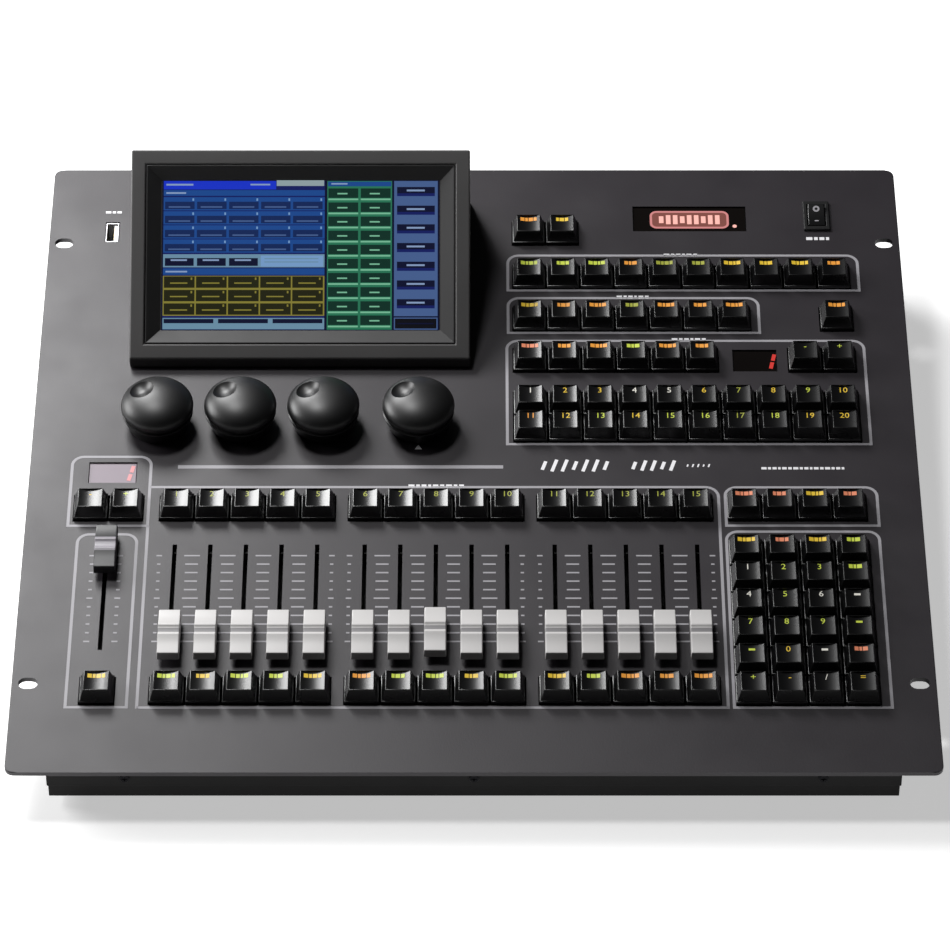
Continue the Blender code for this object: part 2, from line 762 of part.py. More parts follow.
def make_base():
    """The body's four walls, open above for the plate and below for the pan that closes it."""
    rear = REAR_EDGE_Y - BASE_INSET
    bottom = FOOT_HEIGHT + GAP + COVER_LIP + GAP

    def walls(bm):
        base_wedge(bm, 0.0, bottom)

    def room(bm):
        base_wedge(bm, SHEET, bottom - 0.002, 0.01)

    ring = combined("base_ring", walls, cut=room)

    def ring_again(bm):
        bm.from_mesh(ring)

    def socket_holes(bm):
        for x in SOCKET_XS:
            reach = SOCKET_RADIUS + 2 * GAP
            lying_post(bm, x, SOCKET_Z, reach, rear - 0.005, rear + 0.005, SOCKET_STEPS)
        half_x, half_z = INLET_SIZE[0] / 2 + GAP, INLET_SIZE[1] / 2 + GAP
        low = (INLET_X - half_x, rear - 0.005, SOCKET_Z - half_z)
        box(bm, low, (INLET_X + half_x, rear + 0.005, SOCKET_Z + half_z))

    place("base_tray", combined("base_tray", ring_again, cut=socket_holes), "base_paint")

    def pan(bm):
        step = BASE_INSET + COVER_STEP
        half = BASE_WIDTH / 2 - COVER_STEP
        low = (-half, FRONT_EDGE_Y + step, FOOT_HEIGHT + GAP)
        box(bm, low, (half, REAR_EDGE_Y - step, FOOT_HEIGHT + GAP + COVER_LIP))

    def pan_room(bm):
        step = BASE_INSET + COVER_STEP + SHEET
        half = BASE_WIDTH / 2 - COVER_STEP - SHEET
        low = (-half, FRONT_EDGE_Y + step, FOOT_HEIGHT + GAP + SHEET)
        box(bm, low, (half, REAR_EDGE_Y - step, FRONT_TOP))

    place("bottom_cover", combined("bottom_cover", pan, cut=pan_room), "base_paint")


def make_feet():
    def foot(bm):
        post(bm, (0, 0), FOOT_RADIUS * 0.85, FOOT_RADIUS, 0.0, FOOT_HEIGHT, 16)

    mesh = smooth(mesh_of("foot", foot))
    spots = [(x, FRONT_EDGE_Y + y) for y in (FOOT_FRONT, FOOT_REAR) for x in (-FOOT_X, FOOT_X)]
    for number, (x, y) in enumerate(spots, 1):
        place(f"foot_{number}", mesh, "foot_rubber", None, (x, y, 0))


def make_main_board():
    """A processor board on four posts, with its chips, cooler and ribbon headers."""
    floor = FOOT_HEIGHT + SHEET + 3 * GAP
    board_z = floor + 0.006

    def base(bm):
        box(bm, (-0.200, 0.045, board_z), (-0.030, 0.175, board_z + BOARD_THICKNESS))

    def fittings(bm):
        for x in (-0.195, -0.035):
            for y in (0.050, 0.170):
                post(bm, (x, y), 0.003, 0.003, floor, board_z + 0.0004, 8)
        over = board_z + BOARD_THICKNESS / 2
        box(bm, (-0.135, 0.090, over), (-0.095, 0.130, over + 0.012))
        box(bm, (-0.075, 0.100, over), (-0.050, 0.125, over + 0.003))
        box(bm, (-0.190, 0.062, over), (-0.182, 0.110, over + 0.009))
        box(bm, (-0.120, 0.148, over), (-0.060, 0.156, over + 0.009))

    place("main_board", combined("main_board", base, add=fittings), "board_laminate")


def make_power_supply():
    """A closed-frame supply with its terminal ledge at one end."""
    floor = FOOT_HEIGHT + SHEET + 3 * GAP

    def case(bm):
        box(bm, (0.070, 0.110, floor), (0.180, 0.170, floor + 0.026))

    def ledge(bm):
        box(bm, (0.160, 0.109, floor + 0.012), (0.181, 0.171, floor + 0.030))

    place("power_supply", combined("power_supply", case, cut=ledge), "socket_steel")


def make_rear_sockets():
    rear = REAR_EDGE_Y - BASE_INSET
    face = rear + 0.0022

    def strip(bm):
        low = (SOCKET_XS[0] - 0.016, rear - 0.0130, SOCKET_Z - 0.015)
        box(bm, low, (SOCKET_XS[-1] + 0.016, rear - 0.0110, SOCKET_Z + 0.015))

    def barrels(bm):
        for x in SOCKET_XS:
            lying_post(bm, x, SOCKET_Z, SOCKET_RADIUS, rear - 0.0120, face, SOCKET_STEPS)

    def mouths(bm):
        for x in SOCKET_XS:
            lying_post(bm, x, SOCKET_Z, SOCKET_BORE, rear - 0.0090, face + 0.001, SOCKET_STEPS)

    place("output_sockets", combined("output_sockets", strip, barrels, mouths), "socket_plastic")

    half_x, half_z = INLET_SIZE[0] / 2, INLET_SIZE[1] / 2

    def inlet(bm):
        low = (INLET_X - half_x, rear - 0.020, SOCKET_Z - half_z)
        box(bm, low, (INLET_X + half_x, face, SOCKET_Z + half_z))

    def inlet_room(bm):
        half_mouth_x, half_mouth_z = half_x - 0.0018, half_z - 0.0020
        low = (INLET_X - half_mouth_x, rear - 0.015, SOCKET_Z - half_mouth_z)
        box(bm, low, (INLET_X + half_mouth_x, face + 0.001, SOCKET_Z + half_mouth_z))

    place("power_inlet", combined("power_inlet", inlet, cut=inlet_room), "socket_plastic")


def main():
    clear_scene()
    panel = empty("panel_frame", (0, FRONT_EDGE_Y, FRONT_TOP), PLATE_SLOPE)
    make_face_plate(panel)
    make_window("page_display", panel, PAGE_WINDOW, NUMERIC_DEPTH)
    make_window("bank_display", panel, BANK_WINDOW, NUMERIC_DEPTH)
    make_window("badge_window", panel, BADGE_WINDOW, BADGE_DEPTH)
    make_usb_socket(panel)
    make_power_switch(panel)
    make_key_banks(panel)
    make_faders(panel)
    make_encoder_wheels(panel)
    make_playback_board(panel)
    upper = {"menu_keys", "fixture_keys", "attribute_keys", "side_key"}
    upper |= {"program_keys", "bank_keys", "select_keys"}
    make_key_board("upper_key_board", panel, (0.0145, 0.2280), (0.2150, 0.4010), upper)
    make_key_board("keypad_board", panel, (0.1345, 0.0420), (0.2150, 0.1925), {"mode_keys", "number_keys"})
    make_encoder_board(panel)
    make_display(panel)
    make_base()
    make_feet()
    make_main_board()
    make_power_supply()
    make_rear_sockets()


main()
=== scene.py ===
"""The looks of a lighting control desk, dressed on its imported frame.

Every piece is laid out in one of two working frames: the sloping face plate (X across, Y up
the slope from the front edge, Z out of the plate) or the display's leaning face. A finished
piece is settled into the desk's own frame, with its place in its mesh.
"""

import json
import logging
import math
from collections.abc import Callable, Iterable, Iterator, Sequence
from contextlib import contextmanager
from dataclasses import dataclass, field
from enum import Enum

import bmesh
import bpy
from mathutils import Matrix, Vector


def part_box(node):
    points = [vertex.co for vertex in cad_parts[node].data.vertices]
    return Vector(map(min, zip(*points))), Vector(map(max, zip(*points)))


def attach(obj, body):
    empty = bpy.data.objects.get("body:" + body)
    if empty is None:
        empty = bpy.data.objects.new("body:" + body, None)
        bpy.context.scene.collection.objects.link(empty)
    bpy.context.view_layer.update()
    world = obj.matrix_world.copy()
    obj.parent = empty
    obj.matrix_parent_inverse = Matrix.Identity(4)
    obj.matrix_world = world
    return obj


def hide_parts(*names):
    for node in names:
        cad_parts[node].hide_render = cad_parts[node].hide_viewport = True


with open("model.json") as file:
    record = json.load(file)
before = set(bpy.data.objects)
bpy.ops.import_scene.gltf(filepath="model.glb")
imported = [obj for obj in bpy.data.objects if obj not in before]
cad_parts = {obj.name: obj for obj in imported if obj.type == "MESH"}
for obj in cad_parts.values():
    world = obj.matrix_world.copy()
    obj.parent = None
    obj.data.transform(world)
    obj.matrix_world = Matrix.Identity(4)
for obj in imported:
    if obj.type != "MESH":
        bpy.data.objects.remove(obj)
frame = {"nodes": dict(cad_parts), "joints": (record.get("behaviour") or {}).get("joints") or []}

LOG = logging.getLogger("desk")
MM = 0.001
DESK = "desk"

Point = tuple[float, float, float]
Spot = tuple[float, float]
Test = Callable[[Vector, Vector], bool]


class Element(Enum):
    """What an edit-mode selection is made of."""

    FACES = "FACE"
    EDGES = "EDGE"


class Grain(Enum):
    """How a surface was made, which sets the pattern of its bump and its colour."""

    SMOOTH = "smooth"
    POWDER = "powder"
    MOULDED = "moulded"
    ROLLED = "rolled"
    LAMINATE = "laminate"


class Ink(Enum):
    """The colours of the key legends."""

    WHITE = "#E9E6DC"
    LIME = "#C9D84A"
    YELLOW = "#E8C338"
    ORANGE = "#F0A03C"
    CORAL = "#E58A66"
    OLIVE = "#A3A83E"


# Materials


def linear(colour: str) -> tuple[float, float, float, float]:
    """Turns an sRGB hex colour into linear light.

    Args:
        colour: The colour as "#RRGGBB".

    Returns:
        Red, green, blue and a full alpha.
    """
    parts = [int(colour[at : at + 2], 16) / 255 for at in (1, 3, 5)]
    lit = [part / 12.92 if part <= 0.04045 else ((part + 0.055) / 1.055) ** 2.4 for part in parts]
    return (lit[0], lit[1], lit[2], 1.0)


def add_node(
    tree: bpy.types.NodeTree,
    kind: str,
    settings: dict[str, object] | None = None,
    inputs: dict[str | int, object] | None = None,
) -> bpy.types.Node:
    """Adds a node, sets its properties and fills its inputs.

    Args:
        tree: The material's node tree.
        kind: Blender's name for the node type.
        settings: Properties of the node, by name.
        inputs: Input sockets by name or number, each given a value or a socket to link from.

    Returns:
        The new node.
    """
    node = tree.nodes.new(kind)
    for name, value in (settings or {}).items():
        setattr(node, name, value)
    for name, value in (inputs or {}).items():
        if isinstance(value, bpy.types.NodeSocket):
            tree.links.new(value, node.inputs[name])
        else:
            node.inputs[name].default_value = value
    return node


@dataclass(frozen=True)
class Finish:
    """One surface finish, from the substance and the way its surface was made.

    Attributes:
        name: The substance and its finish, in a maker's words.
        colour: Its colour as sRGB hex.
        roughness: Typical roughness of the surface.
        metallic: 1 for bare metal.
        ior: Index of refraction of a plastic, paint or glass.
        grain: The kind of texture that its making left.
        pitch: Size of the texture's bumps in metres.
        depth: Height of the bumps in metres.
        mottle: How far the colour wanders, from 0 to 1.
        coat: Strength of a clear layer on top.
        coat_roughness: Roughness of that layer.
        glow: Colour that the surface gives off, or None.
        strength: Strength of that light.
    """

    name: str
    colour: str
    roughness: float
    metallic: float = 0.0
    ior: float = 1.5
    grain: Grain = Grain.SMOOTH
    pitch: float = 0.6 * MM
    depth: float = 0.01 * MM
    mottle: float = 0.0
    coat: float = 0.0
    coat_roughness: float = 0.05
    glow: str | None = None
    strength: float = 1.0

    def material(self) -> bpy.types.Material:
        """Returns this finish as a material, made on its first use."""
        if self.name in bpy.data.materials:
            return bpy.data.materials[self.name]
        made = bpy.data.materials.new(self.name)
        made.use_nodes = True
        tree = made.node_tree
        shader = tree.nodes["Principled BSDF"]
        shader.inputs["Base Color"].default_value = linear(self.colour)
        shader.inputs["Roughness"].default_value = self.roughness
        shader.inputs["Metallic"].default_value = self.metallic
        shader.inputs["IOR"].default_value = self.ior
        shader.inputs["Coat Weight"].default_value = self.coat
        shader.inputs["Coat Roughness"].default_value = self.coat_roughness
        if self.glow:
            shader.inputs["Emission Color"].default_value = linear(self.glow)
            shader.inputs["Emission Strength"].default_value = self.strength
        self._texture(tree, shader)
        return made

    def _texture(self, tree: bpy.types.NodeTree, shader: bpy.types.Node) -> None:
        """Adds the grain's bump, its patches of gloss and the wander of the colour."""
        place = add_node(tree, "ShaderNodeTexCoord").outputs["Object"]
        if self.grain is Grain.ROLLED:
            # Rolled sheet has long fine streaks across the desk.
            stretch = {"Scale": (0.03, 1.0, 1.0)}
            place = add_node(tree, "ShaderNodeMapping", inputs={"Vector": place, **stretch}).outputs[0]
        detail = {Grain.POWDER: 3.0, Grain.MOULDED: 5.0}.get(self.grain, 2.0)
        fine = add_node(
            tree, "ShaderNodeTexNoise", inputs={"Vector": place, "Scale": 1 / self.pitch, "Detail": detail}
        )
        if self.grain is not Grain.SMOOTH:
            bump = add_node(
                tree,
                "ShaderNodeBump",
                inputs={"Height": fine.outputs["Fac"], "Distance": self.depth, "Strength": 1.0},
            )
            tree.links.new(bump.outputs["Normal"], shader.inputs["Normal"])
        # Handling and dust leave patches a few centimetres across.
        patch = add_node(tree, "ShaderNodeTexNoise", inputs={"Vector": place, "Scale": 28.0, "Detail": 4.0})
        gloss = add_node(
            tree,
            "ShaderNodeMapRange",
            inputs={
                "Value": patch.outputs["Fac"],
                "From Min": 0.3,
                "From Max": 0.7,
                "To Min": self.roughness * 0.94,
                "To Max": min(1.0, self.roughness * 1.08),
            },
        )
        tree.links.new(gloss.outputs["Result"], shader.inputs["Roughness"])
        if self.mottle:
            dark = tuple(part * (1 - self.mottle) for part in linear(self.colour)[:3]) + (1.0,)
            blend = add_node(
                tree,
                "ShaderNodeMix",
                {"data_type": "RGBA"},
                {"Factor": fine.outputs["Fac"], 6: linear(self.colour), 7: dark},
            )
            tree.links.new(blend.outputs[2], shader.inputs["Base Color"])


# Powder coat on steel: charcoal, satin, with a fine orange peel that breaks up highlights.
# The peel's real pitch of about 0.5 mm is drawn at 0.9 mm so that it shows.
PANEL_COAT = Finish("charcoal_powder_coat", "#272328", 0.44, grain=Grain.POWDER, pitch=0.9 * MM,
                    depth=0.035 * MM, mottle=0.12)
BASE_COAT = Finish("black_powder_coat", "#080707", 0.55, ior=1.3, grain=Grain.POWDER, pitch=0.9 * MM,
                   depth=0.03 * MM, mottle=0.2)
# ABS housing, spark-eroded mould: even, slightly warm grey-black with a dry sheen.
HOUSING_ABS = Finish("textured_grey_abs", "#3F3E3E", 0.5, ior=1.53, grain=Grain.MOULDED, pitch=0.5 * MM,
                     depth=0.02 * MM, mottle=0.15)
BEZEL_ABS = Finish("dark_bezel_abs", "#100F10", 0.52, ior=1.53, grain=Grain.MOULDED, pitch=0.5 * MM,
                   depth=0.01 * MM)
# PBT key cap: black, tumbled to a soft gloss that catches light on its dished top.
KEY_PBT = Finish("black_key_pbt", "#0C0C0D", 0.27, ior=1.55, grain=Grain.MOULDED, pitch=0.3 * MM,
                 depth=0.006 * MM)
WHEEL_PC = Finish("black_wheel_polycarbonate", "#0D0D0E", 0.4, ior=1.58, grain=Grain.MOULDED,
                  pitch=0.35 * MM, depth=0.006 * MM)
FADER_ABS = Finish("white_fader_abs", "#CCCAC9", 0.36, ior=1.53, grain=Grain.MOULDED, pitch=0.4 * MM,
                   depth=0.01 * MM, mottle=0.05)
MASTER_ABS = Finish("grey_fader_abs", "#1F1F21", 0.42, ior=1.53, grain=Grain.MOULDED, pitch=0.4 * MM,
                    depth=0.01 * MM, mottle=0.1)
GROOVE_PAINT = Finish("grey_line_paint", "#7C7A7C", 0.5, mottle=0.05)
# The master cap's paler middle band is a painted highlight: the sheen on the middle of its top, painted as a
# lighter grey band.
MASTER_SHEEN_BAND = Finish("painted_sheen_band", "#8B878E", 0.4, mottle=0.05)
SCREEN_INK = Finish("grey_screen_ink", "#A19FA4", 0.55, grain=Grain.POWDER, pitch=0.9 * MM,
                    depth=0.01 * MM, mottle=0.1)
BRIGHT_INK = Finish("white_screen_ink", "#F1F0F3", 0.5, mottle=0.05)
# Cast acrylic lenses: a near-black smoked one, and a pale mauve one that hides its unlit segments. That
# one's pale mauve is a painted sheen: the soft light's reflection on the lens, painted into its colour.
LENS_ACRYLIC = Finish("smoked_lens_acrylic", "#0E0B0A", 0.16, ior=1.49)
LENS_WITH_PAINTED_SHEEN = Finish("acrylic_lens_painted_sheen", "#7A6D78", 0.4, ior=1.49)
# Lit areas under the lenses. The pale segment's pale pink is partly its own red glow and partly a painted
# sheen, the soft light's reflection on the lens painted into its colour.
LIT_SEGMENT = Finish("lit_red_segment", "#5A100E", 0.3, glow="#D8403A", strength=0.8)
SEGMENT_WITH_PAINTED_SHEEN = Finish("lit_segment_painted_sheen", "#A8696E", 0.4, glow="#E08080", strength=0.35)
BADGE_GROUND = Finish("lit_badge_ground", "#2A1210", 0.25, glow="#8A544C", strength=0.8)
BADGE_RED = Finish("lit_badge_rose", "#4A2426", 0.25, glow="#CF8886", strength=0.95)
BADGE_PALE = Finish("lit_badge_pale", "#8A5A54", 0.25, glow="#F2B6AC", strength=0.95)
STEEL = Finish("plated_steel", "#A9A9AC", 0.32, metallic=1.0, grain=Grain.ROLLED, pitch=0.4 * MM,
               depth=0.004 * MM)
BRASS = Finish("gilt_contact", "#C9A95A", 0.3, metallic=1.0, grain=Grain.ROLLED, pitch=0.4 * MM,
               depth=0.002 * MM)
SOCKET_NYLON = Finish("black_socket_nylon", "#101011", 0.42, ior=1.53, grain=Grain.MOULDED,
                      pitch=0.5 * MM, depth=0.01 * MM)
TONGUE_NYLON = Finish("white_tongue_nylon", "#DAD8D2", 0.4, ior=1.53, grain=Grain.MOULDED,
                      pitch=0.4 * MM, depth=0.008 * MM)
FOOT_RUBBER = Finish("foot_rubber", "#151515", 0.78, grain=Grain.MOULDED, pitch=0.5 * MM, depth=0.03 * MM)
SOLDER_MASK = Finish("green_solder_mask", "#1C4A2C", 0.38, grain=Grain.LAMINATE, pitch=1.2 * MM,
                     depth=0.01 * MM, mottle=0.3, coat=0.3)
DARK_MASK = Finish("black_solder_mask", "#0D0E0D", 0.45, grain=Grain.LAMINATE, pitch=1.2 * MM,
                   depth=0.01 * MM, mottle=0.3)
BLACK_OXIDE = Finish("black_oxide_screw", "#1B1B1D", 0.35, metallic=1.0, grain=Grain.ROLLED,
                     pitch=0.3 * MM, depth=0.003 * MM)


def screen_glow(name: str, colour: str) -> Finish:
    """Returns the finish of a lit area of the display, under its glass."""
    return Finish(f"screen_{name}", "#06070A", 0.25, glow=colour, strength=0.85, coat=0.6,
                  coat_roughness=0.03)


# Working frames


@dataclass(frozen=True)
class WorkFrame:
    """A frame turned about X, in which a group of parts lies square.

    Attributes:
        angle: How far it is turned from level, in radians.
        origin: Its origin in the desk's frame.
    """

    angle: float
    origin: Vector

    @property
    def matrix(self) -> Matrix:
        """The matrix from this frame to the desk's."""
        return Matrix.Translation(self.origin) @ Matrix.Rotation(self.angle, 4, "X")

    def bounds(self, node: str) -> tuple[Vector, Vector]:
        """Finds a CAD node's box in this frame.

        Args:
            node: The node's name.

        Returns:
            Its lowest and its highest corner.
        """
        back = self.matrix.inverted()
        points = [back @ vertex.co for vertex in frame["nodes"][node].data.vertices]
        low = Vector([min(point[axis] for point in points) for axis in range(3)])
        high = Vector([max(point[axis] for point in points) for axis in range(3)])
        return low, high

    @classmethod
    def on(cls, node: str, angle: float, x: float | None = None) -> "WorkFrame":
        """Sets a frame on a node's front top edge.

        Args:
            node: The CAD node.
            angle: The turn about X.
            x: The frame's middle, or None for the node's own.

        Returns:
            The frame.
        """
        low, high = cls(angle, Vector()).bounds(node)
        middle = (low.x + high.x) / 2 if x is None else x
        return cls(angle, Matrix.Rotation(angle, 3, "X") @ Vector((middle, low.y, high.z)))


def plate_slope() -> float:
    """Returns the slope of the face plate, which the faders slide along."""
    axis = next(joint["axis"] for joint in frame["joints"] if joint["name"] == "fader_1_slide")
    return math.atan2(axis[2], axis[1])


DISPLAY_LEAN = math.radians(33.2)
LEVEL = WorkFrame(0.0, Vector())
PANEL = WorkFrame.on("face_plate", plate_slope(), 0.0)
DISPLAY = WorkFrame.on("display_housing", plate_slope() + DISPLAY_LEAN)


# Modelling by operators


def activate(obj: bpy.types.Object) -> None:
    """Selects one object alone and makes it active."""
    bpy.ops.object.select_all(action="DESELECT")
    obj.select_set(True)
    bpy.context.view_layer.objects.active = obj


@contextmanager
def editing(obj: bpy.types.Object) -> Iterator[None]:
    """Opens an object in edit mode with nothing selected, and closes it again."""
    activate(obj)
    bpy.ops.object.mode_set(mode="EDIT")
    bpy.ops.mesh.select_all(action="DESELECT")
    try:
        yield
    finally:
        bpy.ops.object.mode_set(mode="OBJECT")


def choose(obj: bpy.types.Object, kind: Element, test: Test) -> None:
    """Selects, in edit mode, the faces or edges that stand where a test says.

    Args:
        obj: The object in edit mode.
        kind: Faces or edges.
        test: Given the middle of each, and its normal or its run, says whether it is wanted.
    """
    bpy.ops.mesh.select_all(action="DESELECT")
    bpy.ops.mesh.select_mode(type=kind.value)
    bm = bmesh.from_edit_mesh(obj.data)
    bm.normal_update()
    if kind is Element.FACES:
        found = [item for item in bm.faces if test(item.calc_center_median(), item.normal)]
    else:
        found = [
            item
            for item in bm.edges
            if test((item.verts[0].co + item.verts[1].co) / 2, item.verts[1].co - item.verts[0].co)
        ]
    for item in found:
        item.select_set(True)
    bm.select_flush_mode()
    bmesh.update_edit_mesh(obj.data)


def upward(middle: Vector, normal: Vector) -> bool:
    """Whether a face looks straight up."""
    return normal.z > 0.99


def push(step: Point) -> None:
    """Moves what is selected in edit mode."""
    bpy.ops.transform.translate(value=step)


def extrude(step: Point) -> None:
    """Extrudes the selected faces as one region and moves them."""
    bpy.ops.mesh.extrude_region_move(TRANSFORM_OT_translate={"value": step})


def shrink(share_x: float, share_y: float, middle: Point) -> None:
    """Scales what is selected about a point, across and along."""
    bpy.ops.transform.resize(value=(share_x, share_y, 1.0), center_override=middle)


def settle_scale(obj: bpy.types.Object) -> None:
    """Applies an object's place, turn and scale to its mesh."""
    activate(obj)
    bpy.ops.object.transform_apply(location=True, rotation=True, scale=True)


def block(name: str, low: Sequence[float], high: Sequence[float]) -> bpy.types.Object:
    """Starts a piece as a box between two corners."""
    middle = [(a + b) / 2 for a, b in zip(low, high)]
    size = [b - a for a, b in zip(low, high)]
    bpy.ops.object.select_all(action="DESELECT")
    bpy.ops.mesh.primitive_cube_add(size=1.0, location=middle, scale=size)
    made = bpy.context.active_object
    made.name = name
    settle_scale(made)
    return made


def rod(
    name: str, centre: Spot, radius: float, bottom: float, top: float, steps: int = 32
) -> bpy.types.Object:
    """Starts a piece as an upright cylinder."""
    bpy.ops.object.select_all(action="DESELECT")
    bpy.ops.mesh.primitive_cylinder_add(
        vertices=steps, radius=radius, depth=top - bottom, location=(*centre, (bottom + top) / 2)
    )
    made = bpy.context.active_object
    made.name = name
    settle_scale(made)
    return made


def turned(name: str, profile: Sequence[Spot], steps: int) -> bpy.types.Object:
    """Turns a piece about Z from (radius, height) points that start and end on the axis.

    Args:
        name: The piece's name.
        profile: Its outline from the bottom to the top.
        steps: Faces round it.

    Returns:
        The piece, with its faces outwards.
    """
    bpy.ops.object.select_all(action="DESELECT")
    bpy.ops.mesh.primitive_plane_add(size=MM)
    made = bpy.context.active_object
    made.name = name
    with editing(made):
        bpy.ops.mesh.select_all(action="SELECT")
        bpy.ops.mesh.delete(type="VERT")
        bm = bmesh.from_edit_mesh(made.data)
        line = [bm.verts.new((radius, 0, height)) for radius, height in profile]
        for pair in zip(line, line[1:]):
            bm.edges.new(pair)
        bmesh.update_edit_mesh(made.data)
        bpy.ops.mesh.select_all(action="SELECT")
        bpy.ops.mesh.spin(steps=steps, angle=2 * math.pi, center=(0, 0, 0), axis=(0, 0, 1))
        bpy.ops.mesh.select_all(action="SELECT")
        bpy.ops.mesh.remove_doubles(threshold=1e-6)
        bpy.ops.mesh.normals_make_consistent(inside=False)
    return made


def apply_modifier(obj: bpy.types.Object, kind: str, settings: dict[str, object]) -> None:
    """Adds a modifier with these settings and applies it."""
    activate(obj)
    modifier = obj.modifiers.new(kind.lower(), kind)
    for name, value in settings.items():
        setattr(modifier, name, value)
    bpy.ops.object.modifier_apply(modifier=modifier.name)


def soften(obj: bpy.types.Object, width: float, segments: int = 2, angle: float = 35.0) -> None:
    """Rounds the edges sharper than an angle in degrees."""
    limits = {"limit_method": "ANGLE", "angle_limit": math.radians(angle)}
    apply_modifier(obj, "BEVEL", {"width": width, "segments": segments, **limits})


def cut(obj: bpy.types.Object, cutters: Iterable[bpy.types.Object]) -> None:
    """Takes each cutter's shape out of an object, and removes the cutters."""
    for cutter in cutters:
        apply_modifier(obj, "BOOLEAN", {"operation": "DIFFERENCE", "object": cutter, "solver": "EXACT"})
        bpy.data.objects.remove(cutter, do_unlink=True)


def copied(obj: bpy.types.Object, name: str, step: Sequence[float]) -> bpy.types.Object:
    """Copies a piece with its own mesh, moved by a step."""
    made = obj.copy()
    made.data = obj.data.copy()
    made.name = name
    bpy.context.scene.collection.objects.link(made)
    made.data.transform(Matrix.Translation(step))
    return made


def joined(name: str, parts: Sequence[bpy.types.Object]) -> bpy.types.Object:
    """Joins parts into one piece."""
    bpy.ops.object.select_all(action="DESELECT")
    for part in parts:
        part.select_set(True)
    bpy.context.view_layer.objects.active = parts[0]
    if len(parts) > 1:
        bpy.ops.object.join()
    parts[0].name = name
    return parts[0]


def paint(obj: bpy.types.Object, finish: Finish) -> bpy.types.Object:
    """Gives an object one finish all over."""
    obj.data.materials.clear()
    obj.data.materials.append(finish.material())
    return obj


def settle(obj: bpy.types.Object, place: WorkFrame = PANEL) -> bpy.types.Object:
    """Moves a piece from a working frame into the desk's, into its mesh."""
    obj.matrix_world = place.matrix @ obj.matrix_world
    settle_scale(obj)
    return obj


def finished(
    obj: bpy.types.Object,
    body: str = DESK,
    replaces: Sequence[str] = (),
    place: WorkFrame = PANEL,
    smooth: float = 38.0,
) -> bpy.types.Object:
    """Settles a piece, shades it, and hands it to the frame.

    Args:
        obj: The piece, painted, in its working frame.
        body: The body that it rides on.
        replaces: CAD nodes that it stands for.
        place: Its working frame.
        smooth: Edges sharper than this angle in degrees stay sharp.

    Returns:
        The piece.
    """
    settle(obj, place)
    activate(obj)
    bpy.ops.object.shade_smooth_by_angle(angle=math.radians(smooth))
    # Large faces keep their flatness and the narrow rounded edges take up the turn.
    apply_modifier(obj, "WEIGHTED_NORMAL", {"keep_sharp": True})
    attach(obj, body)
    if replaces:
        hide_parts(*replaces)
    LOG.info("%s: %d faces on %s", obj.name, len(obj.data.polygons), body)
    return obj


def from_node(node: str, name: str) -> bpy.types.Object:
    """Copies a CAD node's mesh, merged and cleaned of flat seams, to be shaped further."""
    source = frame["nodes"][node]
    made = bpy.data.objects.new(name, source.data.copy())
    bpy.context.scene.collection.objects.link(made)
    with editing(made):
        bpy.ops.mesh.select_all(action="SELECT")
        bpy.ops.mesh.remove_doubles(threshold=2e-6)
        bpy.ops.mesh.dissolve_limited(angle_limit=math.radians(0.5))
    return made


def strip(name: str, a: Spot, b: Spot, width: float, bottom: float, top: float) -> bpy.types.Object:
    """Makes a flat bar of one width from one point to another."""
    start, end = Vector((*a, 0)), Vector((*b, 0))
    along = end - start
    made = block(name, (-along.length / 2, -width / 2, bottom), (along.length / 2, width / 2, top))
    made.matrix_world = Matrix.Translation((start + end) / 2) @ Matrix.Rotation(
        math.atan2(along.y, along.x), 4, "Z"
    )
    settle_scale(made)
    return made


def digits(name: str, text: str, centre: Spot, height: float, bottom: float, top: float) -> bpy.types.Object:
    """Makes numerals or a sign as a thin raised print, centred on a spot."""
    bpy.ops.object.select_all(action="DESELECT")
    bpy.ops.object.text_add(location=(*centre, bottom))
    made = bpy.context.active_object
    made.name = name
    made.data.body = text
    made.data.size = height * 1.4
    made.data.align_x = "CENTER"
    made.data.align_y = "CENTER"
    made.data.resolution_u = 2
    made.data.extrude = (top - bottom) / 2
    bpy.ops.object.convert(target="MESH")
    settle_scale(made)
    return made


# Print on the face plate


